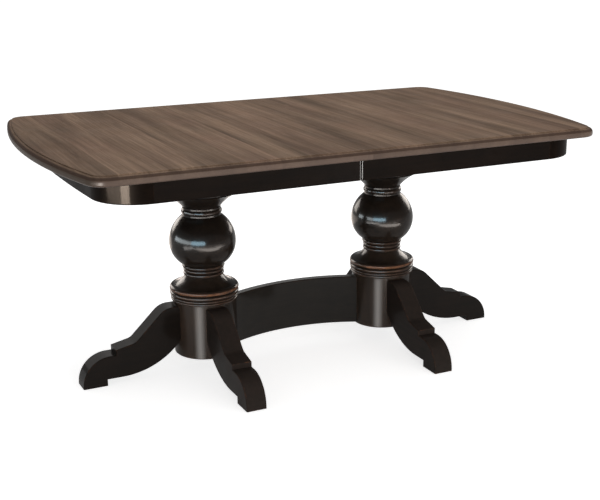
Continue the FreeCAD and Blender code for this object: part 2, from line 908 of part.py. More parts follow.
def bar(section, x_pair):
    """A straight bar along X with a section given as (y, z) points."""
    start = min(x_pair)
    ring = [point(start, y, z) for y, z in section]
    face = Part.Face(Part.makePolygon(ring + ring[:1]))
    return face.extrude(point(max(x_pair) - start, 0))


def fixed_rail(lane):
    """A rail fixed to the base, with a dovetail groove along each side."""
    reach = pedestal_x + cross_plate_width / 2 + rail_end_margin
    centre = lane * rail_offset
    half = fixed_rail_width / 2
    profile = [
        (half, plate_top),
        (half, dovetail_height - dovetail_mouth / 2),
        (half - dovetail_depth, dovetail_height - dovetail_back / 2),
        (half - dovetail_depth, dovetail_height + dovetail_back / 2),
        (half, dovetail_height + dovetail_mouth / 2),
        (half, fixed_rail_top),
    ]
    section = [(centre + offset, z) for offset, z in profile]
    section.extend((centre - offset, z) for offset, z in reversed(profile))
    rail = bar(section, (-reach, reach))
    reached = [hole for hole in rail_screw_holes() if hole.BoundBox.intersect(rail.BoundBox)]
    return cut_all(rail, reached).Solids[0]


def slide_rail(side, lane):
    """A sliding rail under one half, with a dovetail tongue in the fixed rail beside it."""
    away = -1 if slide_is_inner(side, lane) else 1
    face = rail_offset + away * fixed_rail_width / 2
    bottom = plate_top + slide_floor_clearance
    slope = (dovetail_back - dovetail_mouth) / 2 / dovetail_depth
    near = slide_gap
    far = slide_gap + slide_width
    tip = slide_gap - dovetail_depth

    def tongue_half(distance):
        return dovetail_mouth / 2 - slope * distance - dovetail_clearance

    profile = [
        (near, bottom),
        (far, bottom),
        (far, underside),
        (near, underside),
        (near, dovetail_height + tongue_half(near)),
        (tip, dovetail_height + tongue_half(tip)),
        (tip, dovetail_height - tongue_half(tip)),
        (near, dovetail_height - tongue_half(near)),
    ]
    section = [(lane * (face + away * distance), z) for distance, z in profile]
    rail = bar(section, (side * SLIDE_END, -side * slide_reach))
    free_end = (0.0, -side * (slide_reach + OVERRUN))
    across = (lane * (rail_offset - slide_width * 2), lane * (rail_offset + slide_width * 2))
    relief = block(free_end, across, (underside - slide_relief, underside + OVERRUN))
    holes = [hole for hole in top_screw_holes(side) if hole.BoundBox.intersect(rail.BoundBox)]
    return cut_all(rail, [relief] + holes).Solids[0]


def equalizer_gear():
    """A spur gear with involute teeth, with one tooth pointing at each rack."""
    angle = math.radians(gear_pressure_angle)
    base = gear_radius * math.cos(angle)
    tip = gear_radius + gear_module
    root = gear_radius - gear_module - gear_root_clearance
    steps = 5

    def involute(radius):
        roll = math.sqrt(max((radius / base) ** 2 - 1, 0.0))
        return roll - math.atan(roll)

    half_tooth = math.pi / (2 * gear_teeth) - gear_flank_clearance / gear_radius
    flank_start = half_tooth + involute(gear_radius)

    def polar(radius, turn):
        return point(radius * math.cos(turn), radius * math.sin(turn), gear_bottom)

    radii = [base + (tip - base) * step / (steps - 1) for step in range(steps)]
    spacing = 2 * math.pi / gear_teeth
    edges = []
    for tooth in range(gear_teeth):
        middle = tooth * spacing - math.pi / 2
        rising = [polar(radius, middle - flank_start + involute(radius)) for radius in radii]
        falling = [polar(radius, middle + flank_start - involute(radius)) for radius in reversed(radii)]
        root_in = polar(root, middle - flank_start)
        root_out = polar(root, middle + flank_start)
        root_next = polar(root, middle + spacing - flank_start)
        edges.append(Part.LineSegment(root_in, rising[0]).toShape())
        for flank in (rising, falling):
            curve = Part.BSplineCurve()
            curve.interpolate(flank)
            edges.append(curve.toShape())
            if flank is rising:
                edges.append(Part.Arc(rising[-1], polar(tip, middle), falling[0]).toShape())
        edges.append(Part.LineSegment(falling[-1], root_out).toShape())
        edges.append(Part.Arc(root_out, polar(root, middle + spacing / 2), root_next).toShape())
    body = Part.Face(Part.Wire(edges)).extrude(point(0, 0, gear_thickness))
    bore = upright(axle_radius + axle_fit, 0, 0, (gear_bottom - OVERRUN, gear_top + OVERRUN))
    return body.cut(bore)


def gear_axle():
    """The pin that the gear turns on, with a collar below the gear and a head above it."""
    seat = plate_top - axle_seat_depth
    head_bottom = gear_top + end_play
    collar = upright(axle_collar_radius, 0, 0, (plate_top, gear_bottom - end_play))
    shaft = upright(axle_radius, 0, 0, (seat, head_bottom))
    head = upright(axle_head_radius, 0, 0, (head_bottom, head_bottom + axle_head_height))
    return join_all([collar, shaft, head])


def gear_bridge():
    """The board between the fixed rails that carries the gear, with a stepped guide for each rack."""
    along = (-bridge_width / 2, bridge_width / 2)
    reach = rail_offset + fixed_rail_width / 2
    bottom = plate_top - bridge_thickness
    pieces = [block(along, (-reach, reach), (bottom, plate_top))]
    guide = (-rack_fence_length / 2, rack_fence_length / 2)
    back = rack_back_offset + rack_guide_gap
    for lane in (FRONT, REAR):
        fence = (lane * back, lane * (back + rack_fence_thickness))
        ledge = (lane * (back - rack_back), lane * back)
        pieces.append(block(guide, fence, (plate_top, gear_top)))
        pieces.append(block(guide, ledge, (plate_top, gear_bottom - OVERRUN - rack_guide_gap)))
    seat = upright(axle_radius + hole_fit, 0, 0, (plate_top - axle_seat_depth, plate_top + OVERRUN))
    board = join_all(pieces)
    holes = [hole for hole in rail_screw_holes() if hole.BoundBox.intersect(board.BoundBox)]
    return cut_all(board, [seat] + holes).Solids[0]


def rack(side):
    """A toothed bar that reaches past the gear, with a cleat that is screwed under the boards."""
    lane = rack_lane(side)
    slope = math.tan(math.radians(gear_pressure_angle))
    addendum = gear_module
    dedendum = gear_module + gear_root_clearance
    half_tooth = gear_pitch / 4 - gear_flank_clearance
    back = rack_back_offset
    root = gear_radius + dedendum
    tip = gear_radius - addendum
    first = -2
    last = math.ceil(slide_travel / gear_pitch) + 1
    screws = rack_screw_distances(side)
    outer = max(screws) + rack_cleat_margin
    inner = min(screws) - rack_cleat_margin
    outline = [(-outer, back), (-outer, root)]
    for tooth in range(first, last):
        middle = (tooth + 0.5) * gear_pitch
        outline.append((middle - half_tooth - dedendum * slope, root))
        outline.append((middle - half_tooth + addendum * slope, tip))
        outline.append((middle + half_tooth - addendum * slope, tip))
        outline.append((middle + half_tooth + dedendum * slope, root))
    end = last * gear_pitch
    outline.extend([(end, root), (end, back)])
    bottom = gear_bottom - rack_overlap
    corners = [(-side * distance, lane * offset, 0) for distance, offset in outline]
    teeth = plate(corners, (bottom, gear_top + rack_overlap))
    cleat = block((side * inner, side * outer), (lane * root, lane * back), (bottom, underside))
    holes = [top_screw_hole(side * distance, rack_centre(side)) for distance in screws]
    return cut_all(join_all([teeth, cleat]), holes).Solids[0]


def lock_plates():
    """The two lock bodies under the left half: a plate, a collar and a headed pivot in one piece."""
    near, far = lock_plate_span(LEFT)
    half = lock_plate_width / 2
    collar_bottom = lock_plate_bottom - lock_collar_height
    plates = []
    for lane in (FRONT, REAR):
        across = (lane * lock_offset - half, lane * lock_offset + half)
        base = block((-near, -far), across, (lock_plate_bottom, underside))
        x = -lock_pivot_distance
        y = lane * lock_offset
        collar = upright(lock_collar_radius, x, y, (collar_bottom, lock_plate_bottom))
        pivot = upright(lock_pin_radius, x, y, (lock_head_top, collar_bottom))
        head = upright(lock_collar_radius, x, y, (lock_head_top - lock_head_height, lock_head_top))
        plates.append(cut_all(join_all([base, collar, pivot, head]), lock_screw_holes(LEFT)))
    return Part.makeCompound([shape.Solids[0] for shape in plates])


def lock_keepers():
    """The two keepers under the right half, each a plate with a pin that the hook closes round."""
    near, far = lock_plate_span(RIGHT)
    half = lock_plate_width / 2
    keepers = []
    for lane in (FRONT, REAR):
        across = (lane * lock_offset - half, lane * lock_offset + half)
        base = block((near, far), across, (lock_plate_bottom, underside))
        x = lock_arm - lock_pivot_distance
        pin = upright(lock_pin_radius, x, lane * lock_offset, (lock_head_top, lock_plate_bottom))
        keepers.append(cut_all(join_all([base, pin]), lock_screw_holes(RIGHT)))
    return Part.makeCompound([shape.Solids[0] for shape in keepers])


def lock_lever(lane):
    """A hooked lever, parked along the seam, that swings across it to close on the keeper's pin."""
    slot_half = lock_pin_radius + lock_slot_clearance
    half = lock_lever_half_width
    heights = (lock_lever_bottom, lock_lever_top)
    outline = rectangle((-lock_lever_tail, lock_lever_tip), (-half, half), lock_lever_round)
    lever = plate(outline, heights)
    bore_heights = (lock_lever_bottom - OVERRUN, lock_lever_top + OVERRUN)
    bore = upright(lock_pin_radius + axle_fit, 0, 0, bore_heights)
    ring = upright(lock_arm + slot_half, 0, 0, bore_heights)
    ring = ring.cut(upright(lock_arm - slot_half, 0, 0, bore_heights))
    mouth = block((0, lock_lever_tip), (0, lock_lever_tip), bore_heights)
    seat = upright(slot_half, lock_arm, 0, bore_heights)
    lever = cut_all(lever, [bore, ring.common(mouth), seat]).Solids[0]
    lever.rotate(point(0, 0), UP, -90)
    if lane == REAR:
        lever = lever.mirror(point(0, 0), point(0, 1))
    lever.translate(point(-lock_pivot_distance, lane * lock_offset))
    return lever


def foot_glides():
    """The glides under the six feet, each seated in its recess."""
    glides = []
    for side in (LEFT, RIGHT):
        for angle in LEG_ANGLES[side].values():
            disc = upright(glide_radius, leg_reach - pad_length / 2, 0, (0.0, glide_thickness))
            glides.append(placed(disc, angle, side))
    return Part.makeCompound(glides)


def base_pieces():
    """Every piece that stands still: pedestals, stretcher, plates, fixed rails and gear bridge."""
    nodes = {}
    blank = leg_blank()
    turned = turned_column()
    tie = stretcher()
    for side in (LEFT, RIGHT):
        name = SIDE_NAMES[side]
        side_legs = legs(side, blank)
        nodes[f"{name}_column"] = column(side, list(side_legs.values()) + [tie], turned)
        holes = bolt_solids(side, hole_fit)
        for leg_name, leg in side_legs.items():
            nodes[leg_name] = cut_all(leg, holes).Solids[0]
        tie = cut_all(tie, holes)
        nodes[f"{name}_cross_plate"] = cross_plate(side)
    nodes["stretcher"] = tie.Solids[0]
    for lane in (FRONT, REAR):
        nodes[f"{LANE_NAMES[lane]}_fixed_rail"] = fixed_rail(lane)
    nodes["gear_bridge"] = gear_bridge()
    nodes["gear_axle"] = gear_axle()
    nodes["foot_glides"] = foot_glides()
    nodes["leg_bolts"] = Part.makeCompound(bolt_solids(LEFT, 0.0) + bolt_solids(RIGHT, 0.0))
    nodes["leg_nuts"] = Part.makeCompound(nut_solids(LEFT) + nut_solids(RIGHT))
    plate_places = plate_screw_places(LEFT) + plate_screw_places(RIGHT)
    nodes["plate_screws"] = Part.makeCompound([plate_screw(x, y) for x, y in plate_places])
    nodes["rail_screws"] = Part.makeCompound([rail_screw(*place) for place in rail_screw_places()])
    return nodes


def half_pieces(side, slab, ring):
    """Every piece that slides with one half of the top."""
    name = SIDE_NAMES[side]
    nodes = top_boards(side, slab)
    for lane in (FRONT, REAR):
        nodes[f"{name}_{LANE_NAMES[lane]}_apron"] = side_apron(side, lane)
        nodes[f"{name}_{LANE_NAMES[lane]}_slide"] = slide_rail(side, lane)
    end_piece = end_apron(side, ring)
    nodes[f"{name}_end_apron"] = end_piece
    nodes[f"{name}_glue_blocks"] = glue_blocks(side, end_piece)
    nodes[f"{name}_rack"] = rack(side)
    screws = [top_screw(x, y) for x, y in top_screw_places(side)]
    screws.extend(lock_screw(x, y) for x, y in lock_screw_places(side))
    nodes[f"{name}_top_screws"] = Part.makeCompound(screws)
    return nodes


def all_pieces():
    nodes = base_pieces()
    nodes["equalizer_gear"] = equalizer_gear()
    slab = whole_top()
    ring = apron_ring()
    for side in (LEFT, RIGHT):
        nodes.update(half_pieces(side, slab, ring))
    nodes["alignment_pins"] = alignment_pins()
    nodes["lock_plates"] = lock_plates()
    nodes["lock_keepers"] = lock_keepers()
    for lane in (FRONT, REAR):
        nodes[f"{LANE_NAMES[lane]}_lock_lever"] = lock_lever(lane)
    return nodes


os.makedirs("parts", exist_ok=True)
for node_name, node_shape in all_pieces().items():
    node_shape.exportStep(f"parts/{node_name}.step")
    print(node_name, len(node_shape.Solids), "valid" if node_shape.isValid() else "not valid")
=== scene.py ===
"""Looks of a double pedestal extension dining table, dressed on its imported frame."""

import logging
import math
from dataclasses import dataclass, field, replace
from enum import Enum
from typing import Any, Callable

import bpy
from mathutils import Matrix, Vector


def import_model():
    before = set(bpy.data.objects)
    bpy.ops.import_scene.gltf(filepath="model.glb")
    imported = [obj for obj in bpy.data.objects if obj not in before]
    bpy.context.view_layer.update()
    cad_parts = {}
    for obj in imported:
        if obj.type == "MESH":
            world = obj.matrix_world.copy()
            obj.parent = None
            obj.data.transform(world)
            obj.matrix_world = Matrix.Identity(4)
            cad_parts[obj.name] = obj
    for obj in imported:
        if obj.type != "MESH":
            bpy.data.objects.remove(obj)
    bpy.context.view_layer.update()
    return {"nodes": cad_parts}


LOG = logging.getLogger("dining_table")

Colour = tuple[float, float, float]
Place = tuple[float, float, float]
Span = tuple[float, float]
Socket = bpy.types.NodeSocket

# The middle of a noise value, the span that most of it fills, and the span of a mask.
MIDDLE = 0.5
EVEN: Span = (0.3, 0.7)
UNIT: Span = (0.0, 1.0)
WHITE = (1.0, 1.0, 1.0, 1.0)


class Slot(Enum):
    """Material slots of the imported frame."""

    TOP_WOOD = "top_wood"
    BLACK_LACQUER = "black_lacquer"
    SLIDE_WOOD = "slide_wood"
    ZINC_STEEL = "zinc_steel"
    NYLON = "nylon"


class Grain(Enum):
    """Which way the wood fibres of a piece run."""

    ALONG = "x"
    ACROSS = "y"
    UPRIGHT = "z"


class Half(Enum):
    """The two halves of the extension top."""

    LEFT = "left"
    RIGHT = "right"


class Work(Enum):
    """What a lamp does: light the surfaces, show in their shine, or both."""

    LIGHT = "light"
    SHINE = "shine"
    LIGHT_AND_SHINE = "both"


class Reach(Enum):
    """Which pieces a lamp reaches, by the words that their node names hold."""

    ALL = ()
    COLUMNS = ("_column",)
    TOP = ("_board_",)
    END_APRONS = ("_end_apron",)
    LEGS_AND_STRETCHER = ("_leg", "stretcher")
    LEFT_SEAM = ("left_front_apron",)
    RIGHT_SEAM = ("right_front_apron",)

    def picks(self, name: str) -> bool:
        """Whether a node is one of the pieces."""
        return any(word in name for word in self.value)


class NodeBench:
    """Places and links shader nodes in one node tree."""

    # Places of the colours among the sockets of a Mix node.
    FIRST_COLOUR = 6
    SECOND_COLOUR = 7
    MIXED_COLOUR = 2

    def __init__(self, tree: bpy.types.NodeTree) -> None:
        """Work on a node tree."""
        self.tree = tree

    def add(self, kind: str, **settings: Any) -> bpy.types.Node:
        """Place a node.

        Args:
            kind: Blender's name of the node type.
            settings: Properties of the node to set.

        Returns:
            The new node.
        """
        node = self.tree.nodes.new(kind)
        for name, value in settings.items():
            setattr(node, name, value)
        return node

    def feed(self, target: Socket, source: Any) -> None:
        """Link a socket to an input, or set the input's value.

        Args:
            target: The input socket.
            source: An output socket, a number or a vector.
        """
        if isinstance(source, Socket):
            self.tree.links.new(source, target)
        else:
            target.default_value = source

    def math(self, operation: str, first: Any, second: Any = 0.0, clamp: bool = False) -> Socket:
        """Combine two values.

        Args:
            operation: Name of the Math node's operation.
            first: Socket or number.
            second: Socket or number.
            clamp: Whether the result is kept between 0 and 1.

        Returns:
            The socket of the result.
        """
        node = self.add("ShaderNodeMath", operation=operation, use_clamp=clamp)
        self.feed(node.inputs[0], first)
        self.feed(node.inputs[1], second)
        return node.outputs[0]

    def times(self, first: Any, second: Any, clamp: bool = False) -> Socket:
        """The product of two values, kept between 0 and 1 where clamp is set."""
        return self.math("MULTIPLY", first, second, clamp)

    def remap(self, value: Any, low: Any, high: Any, start: Any = 0.0, finish: Any = 1.0) -> Socket:
        """Carry a value smoothly from one range to another.

        Args:
            value: Socket or number.
            low: Value that gives start.
            high: Value that gives finish.
            start: Result at low.
            finish: Result at high.

        Returns:
            The socket of the result.
        """
        node = self.add("ShaderNodeMapRange", interpolation_type="SMOOTHSTEP")
        for socket, source in zip(node.inputs, (value, low, high, start, finish)):
            self.feed(socket, source)
        return node.outputs[0]

    def blend(self, share: Any, first: Any, second: Any, mode: str = "MIX") -> Socket:
        """Mix two colours.

        Args:
            share: How much of the second colour shows.
            first: Socket or colour.
            second: Socket or colour.
            mode: Name of the Mix node's blend type.

        Returns:
            The socket of the mixed colour.
        """
        node = self.add("ShaderNodeMix", data_type="RGBA", blend_type=mode)
        self.feed(node.inputs["Factor"], share)
        self.feed(node.inputs[self.FIRST_COLOUR], first)
        self.feed(node.inputs[self.SECOND_COLOUR], second)
        return node.outputs[self.MIXED_COLOUR]

    def noise(self, vector: Any, scale: Any = 1.0, detail: float = 2.0, roughness: float = 0.55) -> Socket:
        """Smooth noise.

        Args:
            vector: Socket of the coordinates.
            scale: Waves to the unit of the coordinates.
            detail: Octaves added.
            roughness: Strength of the finer octaves.

        Returns:
            The socket of the noise value.
        """
        node = self.add("ShaderNodeTexNoise")
        self.feed(node.inputs["Vector"], vector)
        self.feed(node.inputs["Scale"], scale)
        self.feed(node.inputs["Detail"], detail)
        self.feed(node.inputs["Roughness"], roughness)
        return node.outputs[0]

    def stretch(self, vector: Any, scale: Any, shift: Any = (0.0, 0.0, 0.0)) -> Socket:
        """Scale and shift coordinates.

        Args:
            vector: Socket of the coordinates.
            scale: Factor on each axis.
            shift: Move on each axis, after the scale.

        Returns:
            The socket of the new coordinates.
        """
        node = self.add("ShaderNodeVectorMath", operation="MULTIPLY_ADD")
        self.feed(node.inputs[0], vector)
        self.feed(node.inputs[1], scale)
        self.feed(node.inputs[2], shift)
        return node.outputs[0]

    def split(self, vector: Any) -> Any:
        """The three parts of a vector."""
        node = self.add("ShaderNodeSeparateXYZ")
        self.feed(node.inputs[0], vector)
        return node.outputs

    def join(self, x: Any, y: Any, z: Any) -> Socket:
        """A vector from its three parts."""
        node = self.add("ShaderNodeCombineXYZ")
        for socket, source in zip(node.inputs, (x, y, z)):
            self.feed(socket, source)
        return node.outputs[0]

    def place(self, group: bpy.types.NodeTree, **values: Any) -> Any:
        """Place a node group.

        Args:
            group: The group's tree.
            values: Sockets or numbers for its inputs, by name with _ for a space.

        Returns:
            The outputs of the placed group.
        """
        node = self.add("ShaderNodeGroup", node_tree=group)
        for name, source in values.items():
            self.feed(node.inputs[name.replace("_", " ")], source)
        return node.outputs


class SharedEffects:
    """Shader node groups that several finishes use."""

    def __init__(self) -> None:
        """Build each group once."""
        self.fibres = self._fibres()
        self.mottle = self._mottle()
        self.edge_rub = self._edge_rub()
        self.bead_rub = self._bead_rub()
        self.scuffs = self._scuffs()

    @staticmethod
    def _open(name: str, inputs: dict[str, str], outputs: dict[str, str]) -> tuple[NodeBench, Any, Any]:
        """Start a node group.

        Args:
            name: Name of the group.
            inputs: Socket type of each input, by name.
            outputs: Socket type of each output, by name.

        Returns:
            The bench, the group's input sockets and its output node's sockets.
        """
        tree = bpy.data.node_groups.new(name, "ShaderNodeTree")
        for label, kind in inputs.items():
            tree.interface.new_socket(label, in_out="INPUT", socket_type=kind)
        for label, kind in outputs.items():
            tree.interface.new_socket(label, in_out="OUTPUT", socket_type=kind)
        bench = NodeBench(tree)
        entry = bench.add("NodeGroupInput")
        leave = bench.add("NodeGroupOutput")
        return bench, entry.outputs, leave.inputs

    def _fibres(self) -> bpy.types.NodeTree:
        """Wood fibres along the Y axis of the coordinates: broad streaks, fine lines and pores."""
        slow_scale = (4.0, 1.3, 4.0)
        streak_scale = (1.0, 0.06, 1.0)
        line_scale = (210.0, 2.4, 210.0)
        pore_scale = (900.0, 16.0, 900.0)
        pore_span = (0.6, 0.74)
        bench, given, made = self._open(
            "wood_fibres",
            {"Vector": "NodeSocketVector", "Sway": "NodeSocketFloat", "Streak Pitch": "NodeSocketFloat"},
            {"Streaks": "NodeSocketFloat", "Lines": "NodeSocketFloat", "Pores": "NodeSocketFloat"})
        slow = bench.noise(bench.stretch(given["Vector"], slow_scale), detail=1.0)
        lean = bench.times(bench.math("SUBTRACT", slow, MIDDLE), given["Sway"])
        swayed = bench.add("ShaderNodeVectorMath", operation="ADD")
        bench.feed(swayed.inputs[0], given["Vector"])
        bench.feed(swayed.inputs[1], bench.join(lean, 0.0, lean))
        vector = swayed.outputs[0]
        streaks = bench.noise(
            bench.stretch(vector, streak_scale), given["Streak Pitch"], detail=2.0, roughness=0.5)
        lines = bench.noise(bench.stretch(vector, line_scale), detail=3.0)
        cells = bench.noise(bench.stretch(vector, pore_scale), detail=1.0)
        bench.feed(made["Streaks"], bench.remap(streaks, *EVEN))
        bench.feed(made["Lines"], bench.remap(lines, *EVEN))
        bench.feed(made["Pores"], bench.remap(cells, *pore_span))
        return bench.tree

    def _mottle(self) -> bpy.types.NodeTree:
        """Soft clouds of an uneven stain, with finer flecks."""
        cloud_span = (0.32, 0.68)
        fleck_span = (0.5, 0.78)
        flecks_to_a_cloud = 14.0
        bench, given, made = self._open(
            "stain_mottle",
            {"Vector": "NodeSocketVector", "Size": "NodeSocketFloat"},
            {"Clouds": "NodeSocketFloat", "Flecks": "NodeSocketFloat"})
        scale = bench.math("DIVIDE", 1.0, given["Size"])
        clouds = bench.noise(given["Vector"], scale, detail=3.0, roughness=0.5)
        fine = bench.times(scale, flecks_to_a_cloud)
        flecks = bench.noise(given["Vector"], fine, detail=4.0, roughness=0.65)
        bench.feed(made["Clouds"], bench.remap(clouds, *cloud_span))
        bench.feed(made["Flecks"], bench.remap(flecks, *fleck_span))
        return bench.tree

    def _edge_rub(self) -> bpy.types.NodeTree:
        """Where a hand or a cloth rubs: raised edges, broken up by noise."""
        samples = 6
        turn_span = (0.996, 0.95)
        air_to_reach = 3.0
        air_span = (0.82, 0.97)
        patch_scale = 36.0
        patch_span = (0.42, 0.66)
        bench, given, made = self._open(
            "edge_rub",
            {"Vector": "NodeSocketVector", "Reach": "NodeSocketFloat", "Amount": "NodeSocketFloat"},
            {"Rub": "NodeSocketFloat"})
        eased = bench.add("ShaderNodeBevel", samples=samples)
        bench.feed(eased.inputs["Radius"], given["Reach"])
        surface = bench.add("ShaderNodeNewGeometry")
        turn = bench.add("ShaderNodeVectorMath", operation="DOT_PRODUCT")
        bench.feed(turn.inputs[0], eased.outputs[0])
        bench.feed(turn.inputs[1], surface.outputs["Normal"])
        edge = bench.remap(turn.outputs["Value"], *turn_span)
        open_air = bench.add("ShaderNodeAmbientOcclusion", samples=samples, only_local=True)
        bench.feed(open_air.inputs["Distance"], bench.times(given["Reach"], air_to_reach))
        raised = bench.remap(open_air.outputs["AO"], *air_span)
        patches = bench.noise(given["Vector"], patch_scale, detail=4.0, roughness=0.65)
        broken = bench.remap(patches, *patch_span)
        rub = bench.times(bench.times(edge, raised), broken)
        bench.feed(made["Rub"], bench.times(rub, given["Amount"], clamp=True))
        return bench.tree

    def _bead_rub(self) -> bpy.types.NodeTree:
        """A rubbed ring on the crest of a turned bead."""
        bench, given, made = self._open(
            "bead_rub",
            {"Radius": "NodeSocketFloat", "Height": "NodeSocketFloat", "Low": "NodeSocketFloat",
             "High": "NodeSocketFloat", "Crest": "NodeSocketFloat", "Depth": "NodeSocketFloat"},
            {"Rub": "NodeSocketFloat"})
        above = bench.math("GREATER_THAN", given["Height"], given["Low"])
        below = bench.math("LESS_THAN", given["Height"], given["High"])
        start = bench.math("SUBTRACT", given["Crest"], given["Depth"])
        near = bench.remap(given["Radius"], start, given["Crest"])
        ring = bench.times(bench.times(above, below), near)
        bench.feed(made["Rub"], ring)
        return bench.tree

    def _scuffs(self) -> bpy.types.NodeTree:
        """Hairline scuffs and smears that break up a sheen."""
        hair_scale = (26.0, 640.0, 26.0)
        hair_span = (0.66, 0.74)
        bench, given, made = self._open(
            "sheen_scuffs",
            {"Vector": "NodeSocketVector", "Scale": "NodeSocketFloat"},
            {"Smears": "NodeSocketFloat", "Hairlines": "NodeSocketFloat"})
        smears = bench.noise(given["Vector"], given["Scale"], detail=4.0, roughness=0.6)
        hair = bench.noise(bench.stretch(given["Vector"], hair_scale), detail=2.0, roughness=0.5)
        bench.feed(made["Smears"], smears)
        bench.feed(made["Hairlines"], bench.remap(hair, *hair_span))
        return bench.tree


@dataclass(frozen=True)
class Finish:
    """What every finish shares: a material with a Principled shader on Object coordinates."""

    name: str

    def start(self) -> tuple[bpy.types.Material, NodeBench, Any, Socket]:
        """Open a material.

        Returns:
            The material, its bench, the shader's inputs and the Object coordinates.
        """
        material = bpy.data.materials.new(self.name)
        material.use_nodes = True
        bench = NodeBench(material.node_tree)
        shader = material.node_tree.nodes["Principled BSDF"]
        where = bench.add("ShaderNodeTexCoord").outputs["Object"]
        return material, bench, shader.inputs, where

    def make(self, effects: SharedEffects) -> bpy.types.Material:
        """Build the material, which each kind of finish does in its own way."""
        raise NotImplementedError(self.name)

    @staticmethod
    def open_grain(bench: NodeBench, fibres: Any, line_share: float) -> Socket:
        """Height of open grain.

        Args:
            bench: The material's bench.
            fibres: Outputs of the placed wood fibres.
            line_share: How high the fine lines stand against the depth of the pores.

        Returns:
            The socket of the height.
        """
        return bench.math("SUBTRACT", bench.times(fibres["Lines"], line_share), fibres["Pores"])

    @staticmethod
    def relief(bench: NodeBench, sockets: Any, height: Any, depth: float, strength: float) -> None:
        """Raise a relief on the surface.

        Args:
            bench: The material's bench.
            sockets: The shader's inputs.
            height: Socket of the height, 0 to 1.
            depth: Metres between 0 and 1.
            strength: Share of the relief that shows.
        """
        bump = bench.add("ShaderNodeBump")
        bench.feed(bump.inputs["Height"], height)
        bench.feed(bump.inputs["Distance"], depth)
        bench.feed(bump.inputs["Strength"], strength)
        bench.feed(sockets["Normal"], bump.outputs[0])

    @staticmethod
    def rgba(colour: Colour, share: float = 1.0) -> tuple[float, float, float, float]:
        """A linear colour, dimmed or lifted by a share, with its alpha."""
        return (colour[0] * share, colour[1] * share, colour[2] * share, 1.0)

    @staticmethod
    def turned(bench: NodeBench, where: Socket, grain: Grain) -> Socket:
        """Coordinates whose Y axis runs along the fibres.

        Args:
            bench: The material's bench.
            where: The Object coordinates.
            grain: Which way the fibres run.

        Returns:
            The socket of the turned coordinates.
        """
        if grain is Grain.ACROSS:
            return where
        x, y, z = bench.split(where)
        if grain is Grain.ALONG:
            return bench.join(y, x, z)
        return bench.join(x, z, y)


